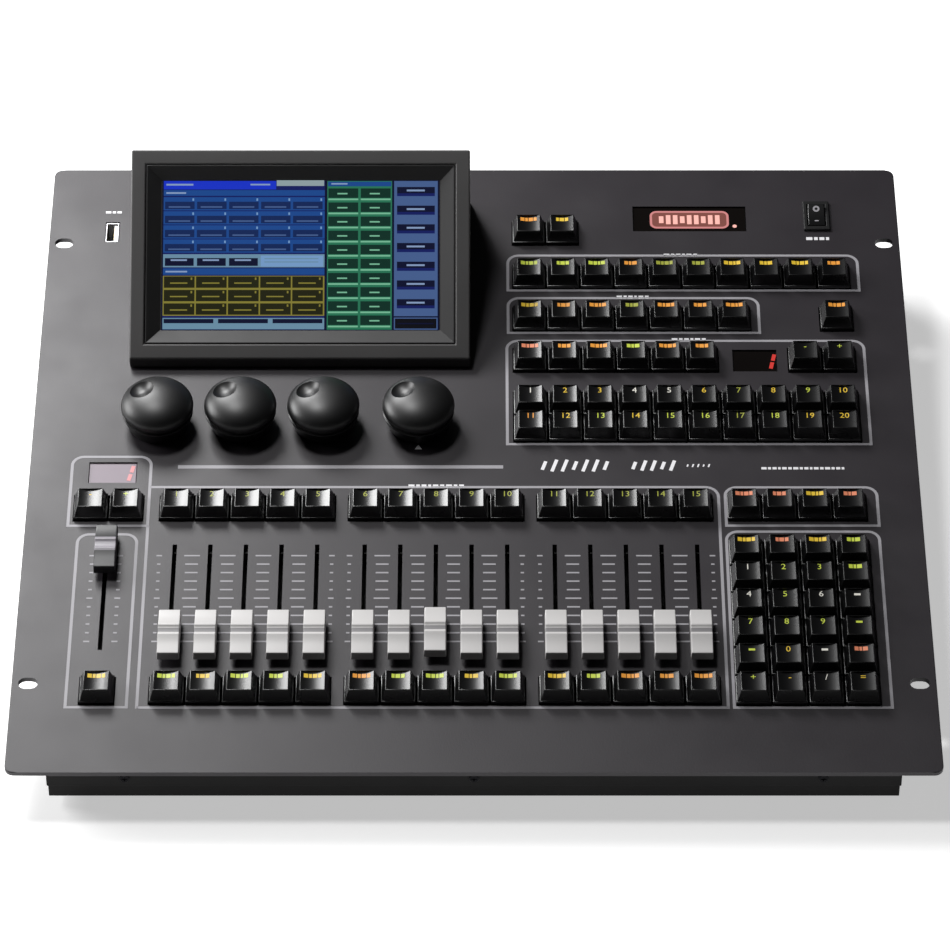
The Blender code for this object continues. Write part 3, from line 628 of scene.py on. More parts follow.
@dataclass
class PlatePrint:
    """The screen-printed lines, scales and marks on the face plate.

    Attributes:
        thickness: How far the ink stands up; real ink is 0.03 mm, drawn at 0.08 so it casts an edge.
        line: Width of the outlines round groups of controls.
        corner: Radius of an outline's rear corners.
        sunk: How deep the print's underside reaches into the plate.
        boxes: Each outlined group: its name, its low and high X, its low and high Y.
    """

    thickness: float = 0.08 * MM
    line: float = 1.6 * MM
    corner: float = 7 * MM
    sunk: float = 0.02 * MM
    boxes: tuple[tuple[str, float, float, float, float], ...] = (
        ("fixture", 0.0190, 0.2165, 0.3465, 0.3742),
        ("attribute", 0.0190, 0.1592, 0.3134, 0.3405),
        ("program", 0.0182, 0.2166, 0.2290, 0.3072),
        ("mode", 0.1356, 0.2176, 0.1695, 0.1972),
        ("number", 0.1352, 0.2172, 0.0430, 0.1652),
        ("master", -0.2124, -0.1806, 0.0432, 0.1632),
    )

    def build(self) -> None:
        """Builds every printed mark as a few pieces."""
        outlines = [self.outline(*box) for box in self.boxes]
        outlines += self.playback_lines()
        print_piece = paint(joined("group_outlines", outlines), SCREEN_INK)
        finished(print_piece)
        finished(paint(joined("fader_scales", self.scales()), SCREEN_INK))
        finished(paint(joined("plate_marks", self.marks()), BRIGHT_INK))

    def outline(
        self, name: str, low_x: float, high_x: float, low_y: float, high_y: float
    ) -> bpy.types.Object:
        """Makes a box of line with its two rear corners round.

        Args:
            name: The group that it goes round.
            low_x: Its left side's middle line.
            high_x: Its right side's.
            low_y: Its front side's.
            high_y: Its rear side's.

        Returns:
            The line as a flat ring.
        """
        half = self.line / 2
        box = (low_x - half, low_y - half, high_x + half, high_y + half)
        made = self.rounded(f"{name}_outline", box, -self.sunk, self.thickness, self.corner)
        inner = (low_x + half, low_y + half, high_x - half, high_y - half)
        cut(made, [self.rounded("inner", inner, -MM, MM, self.corner - self.line)])
        return made

    def rounded(
        self, name: str, box: tuple[float, float, float, float], bottom: float, top: float, corner: float
    ) -> bpy.types.Object:
        """Makes a flat block whose two rear corners are round."""
        low_x, low_y, high_x, high_y = box
        made = block(name, (low_x, low_y, bottom), (high_x, high_y, top))
        with editing(made):
            choose(made, Element.EDGES, lambda at, along: abs(along.x) + abs(along.y) < 1e-7
                   and at.y > (low_y + high_y) / 2)
            bpy.ops.mesh.bevel(offset=corner, segments=8, affect="EDGES")
        return made

    def bar(self, a: Spot, b: Spot, width: float) -> bpy.types.Object:
        """Makes one straight printed line."""
        return strip("printed_bar", a, b, width, -self.sunk, self.thickness)

    def playback_lines(self) -> list[bpy.types.Object]:
        """Makes the line that runs round the page and playback groups, and the long rule."""
        page = self.outline("page", -0.2182, -0.1754, 0.1694, 0.2196)
        left, right, low, high = -0.1752, 0.1320, 0.0430, 0.1974
        corner = self.corner
        bars = [
            self.bar((left, high), (right - corner, high), self.line),
            self.bar((right, high - corner), (right, low), self.line),
            self.bar((left, low), (right + self.line / 2, low), self.line),
            self.bar((left, low - self.line / 2), (left, 0.1694), self.line),
            self.bar((-0.1608, 0.2122), (0.0158, 0.2122), 2.4 * MM),
        ]
        turn = [
            (right - corner + corner * math.sin(math.radians(step)),
             high - corner + corner * math.cos(math.radians(step)))
            for step in range(0, 91, 15)
        ]
        bars += [self.bar(a, b, self.line) for a, b in zip(turn, turn[1:])]
        return [page, *bars]

    def scales(self) -> list[bpy.types.Object]:
        """Makes the eleven graduations beside each fader."""
        lows = [PANEL.bounds(f"fader_{number}") for number in range(1, 16)]
        xs = [(low.x + high.x) / 2 for low, high in lows]
        parts = []
        for group in range(3):
            faders = xs[group * 5 : group * 5 + 5]
            pitch = faders[1] - faders[0]
            gaps = [x + pitch / 2 for x in faders[:-1]]
            parts += self.ladder(gaps, 4.2 * MM, 3.4 * MM)
            parts += self.ladder([faders[0] - pitch * 0.42, faders[-1] + pitch * 0.42], 1.5 * MM, 0.9 * MM)
        low, high = PANEL.bounds("master_fader")
        middle = (low.x + high.x) / 2
        parts += self.ladder([middle - 7.4 * MM, middle + 7.4 * MM], 1.6 * MM, 1.0 * MM)
        return parts

    def ladder(self, xs: Sequence[float], long: float, short: float) -> list[bpy.types.Object]:
        """Makes eleven ticks at each X, the first, middle and last of them longer."""
        parts = []
        for step in range(11):
            y = FaderSet.low_y() + step * FaderSet.travel / 10
            half = long if step % 5 == 0 else short
            parts += [self.bar((x - half, y), (x + half, y), 1.0 * MM) for x in xs]
        return parts

    def marks(self) -> list[bpy.types.Object]:
        """Makes the small bright marks: headings, the switch's and the port's bars, an arrow."""
        parts = [
            self.dashes((0.1168, 0.3745), 19 * MM, 2.3 * MM, 6),
            self.dashes((0.0890, 0.3413), 18 * MM, 2.3 * MM, 6),
            self.dashes((0.1195, 0.3082), 19 * MM, 2.2 * MM, 6),
            self.dashes((-0.0205, 0.1982), 30 * MM, 2.2 * MM, 9),
            self.dashes((0.1951, 0.3878), 13 * MM, 2.3 * MM, 4),
            self.dashes((-0.2057, 0.4090), 9 * MM, 1.6 * MM, 3),
            self.dashes((0.1785, 0.2112), 45 * MM, 1.7 * MM, 16),
        ]
        parts.append(self.emblem((0.0840, 0.2132)))
        low, high = PANEL.bounds("encoder_wheel_4")
        x = (low.x + high.x) / 2
        arrow = rod("arrow", (0, 0), 2.3 * MM, -self.sunk, self.thickness, 3)
        arrow.data.transform(Matrix.Translation((x, low.y + 1.2 * MM, 0)))
        parts.append(arrow)
        return parts

    def dashes(self, centre: Spot, length: float, height: float, count: int) -> bpy.types.Object:
        """Makes a row of short bars of uneven width, which stands where a heading would."""
        widths = [1.0, 0.6, 0.8, 0.5, 0.9, 0.7]
        shares = [widths[step % len(widths)] for step in range(count)]
        gap = 0.28 * length / count
        scale = (length - gap * (count - 1)) / sum(shares)
        x = centre[0] - length / 2
        parts = []
        for share in shares:
            wide = share * scale
            parts.append(self.bar((x, centre[1]), (x + wide, centre[1]), height))
            x += wide + gap
        return joined("heading_marks", parts)

    def emblem(self, centre: Spot) -> bpy.types.Object:
        """Makes three runs of leaning strokes, tall, medium and low: a plain ornament."""
        lean = 0.32
        parts = []
        for start, count, pitch, tall in ((-46, 7, 5.6, 4.3), (3, 5, 5.2, 3.7), (32, 5, 2.9, 1.1)):
            for step in range(count):
                x = centre[0] + (start + step * pitch) * MM
                half = (tall if step % 3 else tall * 0.72) * MM
                foot, head = (x - lean * half, centre[1] - half), (x + lean * half, centre[1] + half)
                parts.append(self.bar(foot, head, min(1.9, 0.3 + tall / 2) * MM))
        return joined("emblem_strokes", parts)


# Keys


@dataclass
class KeyCap:
    """One square key cap: a straight skirt, a ledge, tapering sides and a dished top.

    Attributes:
        half_base: Half the skirt's width.
        half_top: Half the top's width.
        skirt: Height of the skirt above the plate.
        height: Height of the top's rim above the plate.
        foot: Depth of the skirt's lower edge under the plate.
        dish: How far the middle of the top lies under its left and right rims.
    """

    half_base: float = 8.95 * MM
    half_top: float = 6.6 * MM
    skirt: float = 2.3 * MM
    height: float = 9.0 * MM
    foot: float = -7.0 * MM
    ledge: float = 0.55 * MM
    dish: float = 1.0 * MM

    def sag(self, x: float) -> float:
        """Returns how far the dished top lies under its rim at a distance across."""
        share = min(1.0, abs(x) / (self.half_top - 0.4 * MM))
        return self.dish * (1 - share * share)

    def build(self) -> bpy.types.Object:
        """Shapes one cap over the origin from a block.

        Returns:
            The cap, painted.
        """
        half = self.half_base
        cap = block("key_cap", (-half, -half, self.foot), (half, half, self.skirt))
        with editing(cap):
            choose(cap, Element.FACES, upward)
            bpy.ops.mesh.inset(thickness=self.ledge)
            extrude((0.0, 0.0, self.height - self.skirt))
            share = self.half_top / (half - self.ledge)
            shrink(share, share, (0.0, 0.0, self.height))
        soften(cap, 0.5 * MM, 2, 15.0)
        with editing(cap):
            choose(cap, Element.FACES, lambda at, normal: normal.z > 0.99 and at.z > self.height - 0.1 * MM)
            bpy.ops.mesh.inset(thickness=0.12 * MM)
            for step in range(-3, 4):
                bpy.ops.mesh.bisect(plane_co=(step * self.half_top / 4, 0, 0), plane_no=(1, 0, 0))
                choose(cap, Element.FACES, lambda at, normal: normal.z > 0.9 and at.z > self.height - MM
                       and max(abs(at.x), abs(at.y)) < self.half_top - 0.4 * MM)
            bm = bmesh.from_edit_mesh(cap.data)
            rim = self.half_top - 0.3 * MM
            for vertex in bm.verts:
                inside = max(abs(vertex.co.x), abs(vertex.co.y)) < rim
                if inside and vertex.co.z > self.height - 0.05 * MM:
                    vertex.co.z -= self.sag(vertex.co.x)
            bmesh.update_edit_mesh(cap.data)
        return paint(cap, KEY_PBT)


class LegendKind(Enum):
    """What is printed on a cap."""

    BAR = "bar"
    DIGIT = "digit"
    SMALL = "small"


@dataclass(frozen=True)
class Legend:
    """The print on one cap: its kind, its ink and, for a digit, its text."""

    kind: LegendKind
    ink: Ink
    text: str = ""


def bars(*inks: Ink) -> list[Legend]:
    """Returns a bar legend in each of these inks."""
    return [Legend(LegendKind.BAR, ink) for ink in inks]


def numerals(texts: Sequence[str], inks: Sequence[Ink]) -> list[Legend]:
    """Returns a digit legend for each text, its inks taken in turn."""
    return [Legend(LegendKind.DIGIT, inks[at % len(inks)], text) for at, text in enumerate(texts)]


@dataclass
class KeyBank:
    """A bank of keys that presses as one: its caps and their legends.

    Attributes:
        node: The bank's CAD node and body.
        legends: One legend for each cap, row by row from the rear left.
        cap: The cap that its keys copy.
        pitch: Distance between two keys.
        print_height: How far the legends stand out of the caps.
        print_y: Distance of a legend from the cap's middle, to the rear.
    """

    node: str
    legends: list[Legend]
    cap: KeyCap = field(default_factory=KeyCap)
    pitch: float = 19.05 * MM
    print_height: float = 0.06 * MM
    print_y: float = 3.5 * MM

    def centres(self) -> list[Spot]:
        """Finds the middle of each cap from the bank's CAD node.

        Returns:
            The spots, row by row from the rear left.
        """
        low, high = PANEL.bounds(self.node)
        columns = round((high.x - low.x) / self.pitch)
        rows = round((high.y - low.y) / self.pitch)
        left = (low.x + high.x) / 2 - (columns - 1) * self.pitch / 2
        rear = (low.y + high.y) / 2 + (rows - 1) * self.pitch / 2
        return [
            (left + column * self.pitch, rear - row * self.pitch)
            for row in range(rows)
            for column in range(columns)
        ]

    def build(self, pattern: bpy.types.Object) -> None:
        """Copies the pattern cap to each place and prints its legend.

        Args:
            pattern: A finished cap over the origin.
        """
        spots = self.centres()
        caps = [copied(pattern, "cap", (*spot, 0.0)) for spot in spots]
        finished(joined(f"{self.node}_caps", caps), self.node, [self.node], smooth=30.0)
        prints = [
            self.legend(legend, spot, order) for order, (legend, spot) in enumerate(zip(self.legends, spots))
        ]
        finished(joined(f"{self.node}_legends", prints), self.node)

    def legend(self, legend: Legend, spot: Spot, order: int) -> bpy.types.Object:
        """Prints one legend on the dished top of the cap at a spot.

        Args:
            legend: What is printed.
            spot: The cap's middle.
            order: The cap's number in its bank, which varies the blocks of a bar.

        Returns:
            The print.
        """
        y, low, high = self.print_y, self.cap.height, self.cap.height + self.print_height
        if legend.kind is LegendKind.BAR:
            made = self.bar(y, low, high, order)
        elif legend.kind is LegendKind.SMALL:
            made = block("legend", (-1.7 * MM, y - 1.3 * MM, low), (1.7 * MM, y + 0.1 * MM, high))
        else:
            made = digits("legend", legend.text, (0.0, y - 0.3 * MM), 3.9 * MM, low, high)
        for vertex in made.data.vertices:
            vertex.co.z -= self.cap.sag(vertex.co.x)
        made.data.transform(Matrix.Translation((*spot, 0.0)))
        return paint(made, Finish(f"{legend.ink.name.lower()}_legend_ink", legend.ink.value, 0.42))

    def bar(self, y: float, low: float, high: float, order: int) -> bpy.types.Object:
        """Makes a bar as a few blocks of uneven width, as long as a short printed word."""
        widths = [(2.3, 1.5, 2.4, 1.7), (1.6, 2.5, 1.9), (2.4, 2.0, 1.3, 2.2), (2.1, 1.4, 2.6)][order % 4]
        gap, half_height = 0.42 * MM, 1.35 * MM
        x = -(sum(widths) * MM + gap * (len(widths) - 1)) / 2
        parts = []
        for width in widths:
            far = x + width * MM
            parts.append(block("legend", (x, y - half_height, low), (far, y + half_height, high)))
            x = far + gap
        return joined("legend", parts)


class Keyboard:
    """All the desk's keys."""

    def banks(self) -> list[KeyBank]:
        """Lists the banks with their legends.

        Returns:
            One bank for each node of keys.
        """
        white, lime, yellow, orange, coral = Ink.WHITE, Ink.LIME, Ink.YELLOW, Ink.ORANGE, Ink.CORAL
        olive = Ink.OLIVE
        tones = [white, yellow, yellow, white, white, yellow, olive, yellow, lime, yellow]
        tones += [orange, yellow, lime, yellow, lime, lime, olive, lime, yellow, yellow]
        small = [Legend(LegendKind.SMALL, white), Legend(LegendKind.SMALL, lime)]
        pad = bars(yellow, coral, yellow, lime)
        pad += [*numerals("123", [white, lime, lime]), *bars(lime)]
        pad += [*numerals("456", [white, lime, white]), small[0]]
        pad += [*numerals("789", [lime, lime, lime]), small[1]]
        pad += [small[1], *numerals("0", [yellow]), small[0], *bars(coral)]
        pad += numerals(["+", "-", "/", "="], [lime, yellow, white, yellow])
        found = [
            KeyBank("menu_keys", bars(orange, yellow)),
            KeyBank("fixture_keys", bars(lime, lime, lime, orange, olive, olive, *[yellow] * 3, orange)),
            KeyBank("attribute_keys", bars(yellow, orange, orange, olive, orange, orange, orange)),
            KeyBank("side_key", bars(orange)),
            KeyBank("program_keys", bars(coral, orange, orange, lime, orange, orange)),
            KeyBank("bank_keys", numerals(["-", "+"], [lime, lime])),
            KeyBank("select_keys", numerals([str(n) for n in range(1, 21)], tones)),
            KeyBank("page_keys", numerals(["-", "+"], [yellow, lime])),
            KeyBank("mode_keys", bars(coral, coral, yellow, coral)),
            KeyBank("number_keys", pad),
            KeyBank("master_key", bars(yellow)),
        ]
        flash = (
            bars(lime, yellow, lime, lime, yellow),
            bars(orange, lime, lime, yellow, lime),
            bars(yellow, lime, orange, orange, orange),
        )
        for number in (1, 2, 3):
            texts = [str(n) for n in range(number * 5 - 4, number * 5 + 1)]
            found.append(KeyBank(f"playback_keys_{number}", numerals(texts, [olive])))
            found.append(KeyBank(f"flash_keys_{number}", flash[number - 1]))
        return found

    def build(self) -> None:
        """Builds every bank from one pattern cap, then removes the pattern."""
        pattern = KeyCap().build()
        for bank in self.banks():
            bank.build(pattern)
        bpy.data.objects.remove(pattern, do_unlink=True)


# Faders and wheels


@dataclass
class FaderSet:
    """The sixteen faders: long low caps on steel blades.

    Attributes:
        half_width: Half a cap's width.
        half_length: Half its length along the slot.
        underside: Height of its lower edge above the plate.
        crest: Height of the two ridges beside the middle groove.
        end: Height of its ends.
        scoop: Depth of the finger hollows between the ridges and the ends.
        groove: Half the width of the groove's floor.
        lip: Distance of each ridge from the middle.
        depth: Depth of the groove under the ridges.
        travel: Length of a fader's slide.
    """

    half_width: float = 5.9 * MM
    half_length: float = 15.2 * MM
    underside: float = 3.1 * MM
    crest: float = 10.6 * MM
    end: float = 8.5 * MM
    scoop: float = 0.5 * MM
    groove: float = 1.4 * MM
    lip: float = 3.1 * MM
    depth: float = 1.1 * MM
    travel = 60 * MM

    @staticmethod
    def low_y() -> float:
        """Returns the Y of a fader at the bottom of its scale."""
        low, high = PANEL.bounds("fader_1")
        return (low.y + high.y) / 2

    def crown(self, y: float) -> float:
        """Returns the height of the cap's top at a distance along it from its middle."""
        reach = abs(y)
        if reach < self.lip:
            rise = max(0.0, reach - self.groove) / (self.lip - self.groove)
            return self.crest - self.depth * (1 - rise)
        share = (reach - self.lip) / (self.half_length - self.lip)
        hollow = self.scoop * math.sin(min(1.0, share) * math.pi)
        return self.crest - (self.crest - self.end) * share - hollow

    def cap(self) -> bpy.types.Object:
        """Shapes one cap over the origin from a block cut across its length.

        Returns:
            The cap.
        """
        wide, long = self.half_width, self.half_length
        made = block("fader_cap", (-wide, -long, self.underside), (wide, long, self.crest))
        stations = [1.4, 2.6, 3.1, 3.7, 4.8, 6.2, 7.6, 9.0, 10.4, 11.8, 13.2, 14.4]
        with editing(made):
            for station in stations:
                for side in (-1, 1):
                    bpy.ops.mesh.select_all(action="SELECT")
                    bpy.ops.mesh.bisect(plane_co=(0, side * station * MM, 0), plane_no=(0, 1, 0))
            bm = bmesh.from_edit_mesh(made.data)
            for vertex in bm.verts:
                if vertex.co.z > self.underside + MM:
                    vertex.co.z = self.crown(vertex.co.y)
                    vertex.co.x *= 0.96
                    vertex.co.y *= 0.985
            bmesh.update_edit_mesh(made.data)
        soften(made, 0.5 * MM, 2, 50.0)
        return made

    def banded(self, cap: bpy.types.Object, finish: Finish, reach: float) -> bpy.types.Object:
        """Paints the band across the middle of a cap's top in a second finish."""
        cap.data.materials.append(finish.material())
        for face in cap.data.polygons:
            if face.normal.z > 0.3 and abs(face.center.y) < reach and abs(face.center.x) < self.half_width:
                face.material_index = 1
        return cap

    def blade(self) -> bpy.types.Object:
        """Shapes the steel blade and its shoe under the cap."""
        made = block("fader_blade", (-0.6 * MM, -2.4 * MM, -11 * MM), (0.6 * MM, 2.4 * MM, 4.5 * MM))
        shoe_top = self.underside + 0.4 * MM
        shoe = block("fader_shoe", (-3.4 * MM, -6.0 * MM, 1.6 * MM), (3.4 * MM, 6.0 * MM, shoe_top))
        soften(shoe, 0.3 * MM, 2)
        return joined("fader_blade", [paint(made, STEEL), paint(shoe, SOCKET_NYLON)])

    def build(self) -> None:
        """Copies the cap and the blade to each fader's body."""
        cap, blade = self.cap(), self.blade()
        names = [f"fader_{number}" for number in range(1, 16)] + ["master_fader"]
        for name in names:
            low, high = PANEL.bounds(name)
            spot = ((low.x + high.x) / 2, (low.y + high.y) / 2, 0.0)
            master = name == "master_fader"
            piece = paint(copied(cap, f"{name}_cap", (0, 0, 0)), MASTER_ABS if master else FADER_ABS)
            # On the master cap this band is a painted highlight standing for the sheen on its top.
            self.banded(piece, MASTER_SHEEN_BAND if master else GROOVE_PAINT, 4.6 * MM if master else 1.5 * MM)
            piece.data.transform(Matrix.Translation(spot))
            finished(piece, name, [name], smooth=40.0)
            finished(copied(blade, f"{name}_blade", spot), name)
        bpy.data.objects.remove(cap, do_unlink=True)
        bpy.data.objects.remove(blade, do_unlink=True)


@dataclass
class WheelSet:
    """The four domed encoder wheels with their finger hollows.

    Attributes:
        radius: A wheel's radius at its rim.
        seam: Height above the plate where the dome is widest.
        crown: Height of the dome's top.
        hollow: Radius of the ball that shapes the finger hollow.
        hollow_at: The middle of that ball.
    """

    radius: float = 19.8 * MM
    seam: float = 14.0 * MM
    crown: float = 23.6 * MM
    hollow: float = 9.8 * MM
    hollow_at: Point = (-10.0 * MM, 5.5 * MM, 28.5 * MM)
    steps: int = 80

    def profile(self) -> list[Spot]:
        """Lists a wheel's outline: shaft, tapered skirt, shadow groove and dome."""
        rim, seam = self.radius, self.seam
        shaft = [(0.0, -14.8 * MM), (3 * MM, -14.8 * MM), (3 * MM, 1.0 * MM)]
        skirt = [(rim - 3.7 * MM, 1.0 * MM), (rim - 3.2 * MM, 1.4 * MM), (rim - 0.6 * MM, 9.4 * MM)]
        skirt += [(rim - 0.35 * MM, 9.8 * MM), (rim - 0.4 * MM, 10.2 * MM), (rim - 0.8 * MM, 10.4 * MM)]
        groove = [(rim - 1.6 * MM, 10.5 * MM), (rim - 1.7 * MM, 12.7 * MM), (rim - 0.9 * MM, 12.9 * MM)]
        groove += [(rim - 0.3 * MM, seam - 0.8 * MM)]
        dome = []
        for step in range(1, 18):
            angle = math.radians(90 * step / 18)
            dome.append((rim * math.cos(angle), seam + (self.crown - seam) * math.sin(angle)))
        return [*shaft, *skirt, *groove, (rim, seam), *dome, (0.0, self.crown)]

    def build(self) -> None:
        """Turns one wheel, cuts its hollow, and copies it to each body."""
        wheel = turned("wheel", self.profile(), self.steps)
        bpy.ops.object.select_all(action="DESELECT")
        bpy.ops.mesh.primitive_uv_sphere_add(
            segments=64, ring_count=40, radius=self.hollow, location=self.hollow_at
        )
        ball = bpy.context.active_object
        settle_scale(ball)
        cut(wheel, [ball])
        paint(wheel, WHEEL_PC)
        for number in range(1, 5):
            node = f"encoder_wheel_{number}"
            low, high = PANEL.bounds(node)
            spot = ((low.x + high.x) / 2, (low.y + high.y) / 2, 0.0)
            finished(copied(wheel, f"{node}_dome", spot), node, [node], smooth=32.0)
        bpy.data.objects.remove(wheel, do_unlink=True)


# Display


@dataclass(frozen=True)
class Tile:
    """A lit rectangle on the display: its colour name and place in millimetres from the top left."""

    shade: str
    x: float
    y: float
    width: float
    height: float
    layer: int = 1


@dataclass
class TouchDisplay:
    """The leaning display: its housing, the bezel that slopes to the screen, and the lit picture.

    Attributes:
        screen: Width and height of the lit area.
        recess: Depth of the lit area under the housing's face.
    """

    screen: Spot = (154.1 * MM, 85.9 * MM)
    recess: float = 3.9 * MM
    layer_step: float = 0.05 * MM
    shades: dict[str, str] = field(default_factory=lambda: {
        "night": "#0B1030", "navy": "#141F63", "royal": "#1A36D0", "blue": "#1D4C94", "sky": "#7CA4D2",
        "deep": "#12295C", "steel": "#4A6496", "pine": "#0E3328", "green": "#2C7A5A", "mint": "#7FC4A0",
        "olive": "#24240E", "sand": "#8C8438", "ice": "#7095AE", "paper": "#98AAAE", "ink": "#0A0A12",
        "dash": "#8FA6CC",
    })

    def build(self) -> None:
        """Builds the housing, the bezel and the picture."""
        housing = from_node("display_housing", "display_housing_shell")
        soften(housing, 1.1 * MM, 3, 30.0)
        finished(paint(housing, HOUSING_ABS), DESK, ["display_housing"], LEVEL, 35.0)
        self.bezel()
        self.picture()

    def bezel(self) -> None:
        """Shapes the bezel: a slab whose face slopes from the housing down to the screen."""
        low, high = DISPLAY.bounds("touch_screen")
        wide, tall = self.screen
        edge = (high.x - low.x - wide) / 2 - 0.5 * MM
        made = block("display_bezel", (low.x, low.y, low.z), (high.x, high.y, -0.5 * MM))
        with editing(made):
            choose(made, Element.FACES, upward)
            bpy.ops.mesh.inset(thickness=0.7 * MM)
            bpy.ops.mesh.inset(thickness=edge - 0.7 * MM)
            push((0.0, 0.0, 0.5 * MM - self.recess))
        soften(made, 0.25 * MM, 2, 12.0)
        finished(paint(made, BEZEL_ABS), DESK, ["touch_screen"], DISPLAY, 20.0)

    def tiles(self) -> list[Tile]:
        """Lays out the picture: blue preset tiles, an olive strip, green lists and side buttons.

        Returns:
            The tiles, back to front.
        """
        made = [Tile("night", 0, 0, 154.1, 85.9, 0), Tile("navy", 0.8, 0.8, 89.6, 84.2)]
        made += [Tile("royal", 0.8, 0.8, 62.5, 4.8, 2), Tile("paper", 63.6, 0.4, 26.4, 3.2, 2)]
        made += [Tile("blue", 0.8, 6.0, 89.6, 3.2, 2), Tile("dash", 2.2, 2.4, 15.0, 1.0, 3)]
        made += [Tile("dash", 49.0, 2.4, 11.0, 0.9, 3), Tile("dash", 2.2, 7.2, 11.0, 0.9, 3)]
        for row in range(4):
            made.append(Tile("blue", 0.8, 10.0 + row * 8.0, 89.6, 7.5, 2))
            for column in range(5):
                x, y = 1.6 + column * 17.8, 12.6 + row * 8.0
                made.append(Tile("deep", x, y, 16.4, 4.2, 3))
                made.append(Tile("steel", x + 2.0, y + 2.6, 12.0, 0.8, 4))
                made.append(Tile("sky", x + 15.2, y - 1.9, 0.9, 1.4, 4))
        made.append(Tile("ice", 0.8, 42.4, 89.6, 7.4, 2))
        made += [Tile("night", 1.8 + step * 17.8, 44.6, 16.0, 4.4, 3) for step in range(3)]
        made += [Tile("dash", 5.0 + step * 17.8, 45.3, 9.0, 0.9, 4) for step in range(3)]
        made.append(Tile("sky", 55.0, 43.2, 34.6, 6.2, 3))
        made += [Tile("ice", 57.0, 44.6 + step * 1.9, 30.0, 0.6, 4) for step in range(2)]
        made += [Tile("blue", 0.8, 50.4, 89.6, 3.6, 2), Tile("dash", 2.2, 51.8, 12.0, 0.9, 3)]
        made.append(Tile("sand", 0.8, 54.6, 89.6, 22.6, 2))
        for row in range(3):
            for column in range(5):
                x, y = 1.4 + column * 17.8, 55.0 + row * 7.6
                made.append(Tile("olive", x, y, 17.0, 6.4, 3))
                made.append(Tile("sand", x + 3.4, y + 3.4, 9.6, 0.7, 4))
                made.append(Tile("sand", x + 14.8, y + 0.6, 0.9, 1.3, 4))
        made.append(Tile("ice", 0.8, 78.4, 89.6, 6.4, 2))
        made += [Tile("night", 1.4 + step * 30.2, 79.0, 27.6, 2.4, 3) for step in range(3)]
        made += [Tile("green", 91.8, 0.8, 36.0, 84.2), Tile("blue", 92.2, 1.2, 35.2, 2.6, 2)]
        made.append(Tile("dash", 94.0, 2.0, 9.0, 0.8, 3))
        for row in range(10):
            for column in range(2):
                x, y = 92.4 + column * 18.0, 5.0 + row * 8.0
                made.append(Tile("pine", x, y, 16.6, 5.4, 2))
                made.append(Tile("mint", x, y + 5.8, 16.6, 0.9, 2))
                made.append(Tile("mint", x + 5.0, y + 2.6, 5.6, 0.8, 3))
        made.append(Tile("steel", 129.0, 0.8, 24.2, 76.6))
        for row in range(7):
            y = 4.2 + row * 10.6
            made.append(Tile("night", 130.6, y, 21.0, 5.2, 2))
            made.append(Tile("navy", 130.6, y + 3.6, 21.0, 1.6, 3))
            made.append(Tile("dash", 136.0, y + 1.5, 10.0, 1.0, 3))
        made += [Tile("steel", 129.0, 78.2, 24.2, 6.8), Tile("ink", 129.6, 78.8, 23.0, 5.6, 2)]
        made.append(Tile("night", 131.0, 81.2, 20.0, 0.8, 3))
        return made

    def picture(self) -> None:
        """Builds the tiles of each shade as one piece."""
        low, high = DISPLAY.bounds("touch_screen")
        left = (low.x + high.x) / 2 - self.screen[0] / 2
        top = (low.y + high.y) / 2 + self.screen[1] / 2
        for shade, colour in self.shades.items():
            parts = []
            for tile in self.tiles():
                if tile.shade != shade:
                    continue
                floor = -self.recess
                corner = (left + tile.x * MM, top - (tile.y + tile.height) * MM, floor)
                far = (left + (tile.x + tile.width) * MM, top - tile.y * MM,
                       floor + 0.1 * MM + tile.layer * self.layer_step)
                parts.append(block("tile", corner, far))
            finished(paint(joined(f"picture_{shade}", parts), screen_glow(shade, colour)), DESK,
                     place=DISPLAY)


# Windows and sockets in the plate


@dataclass
class NumericWindow:
    """A two-digit numeric display behind its lens.

    Attributes:
        node: The CAD node.
        lens: The lens's finish.
        glow: The finish of its lit segments.
        lit: The segments that are lit in each digit.
        height: Height between the middles of a digit's top and bottom segments.
        width: Width between the middles of its side segments.
        stroke: Width of a segment.
        lean: How far a digit leans, across over up.
        half_pitch: Half the distance between the two digits.
        aside: How far the pair stands right of the lens's middle.
        margin: How far the lens stays inside its opening.
    """

    node: str
    lens: Finish
    glow: Finish
    lit: tuple[str, str] = ("", "bc")
    height: float = 12.0 * MM
    width: float = 6.4 * MM
    stroke: float = 2.1 * MM
    lean: float = 0.22
    half_pitch: float = 5.2 * MM
    aside: float = 1.5 * MM
    margin: float = 1.0 * MM

    def ends(self, name: str) -> tuple[Spot, Spot]:
        """Returns the two ends of a segment about the middle of its digit, before it leans."""
        tall, wide = self.height / 2, self.width / 2
        gap = self.stroke * 0.3
        across, up = wide - gap, tall - gap
        flats = {"a": tall, "g": 0.0, "d": -tall}
        if name in flats:
            return (-across, flats[name]), (across, flats[name])
        x = wide if name in "bc" else -wide
        low, high = (gap, up) if name in "bf" else (-up, -gap)
        return (x, low), (x, high)

    def build(self) -> None:
        """Builds the lens and the lit segments behind it."""
        low, high = PANEL.bounds(self.node)
        corner = (low.x + self.margin, low.y + self.margin, low.z)
        lens = block(f"{self.node}_lens", corner, (high.x - self.margin, high.y - self.margin, high.z))
        soften(lens, 0.3 * MM, 2)
        finished(paint(lens, self.lens), DESK, [self.node])
        middle_x, middle_y = (low.x + high.x) / 2, (low.y + high.y) / 2
        parts = []
        for place, lit in zip((-1, 1), self.lit):
            x = middle_x + place * self.half_pitch + self.aside
            for name in lit:
                a, b = ((x + across + up * self.lean, middle_y + up) for across, up in self.ends(name))
                parts.append(strip("segment", a, b, self.stroke, high.z - 0.03 * MM, high.z + 0.1 * MM))
        finished(paint(joined(f"{self.node}_lit", parts), self.glow), DESK)


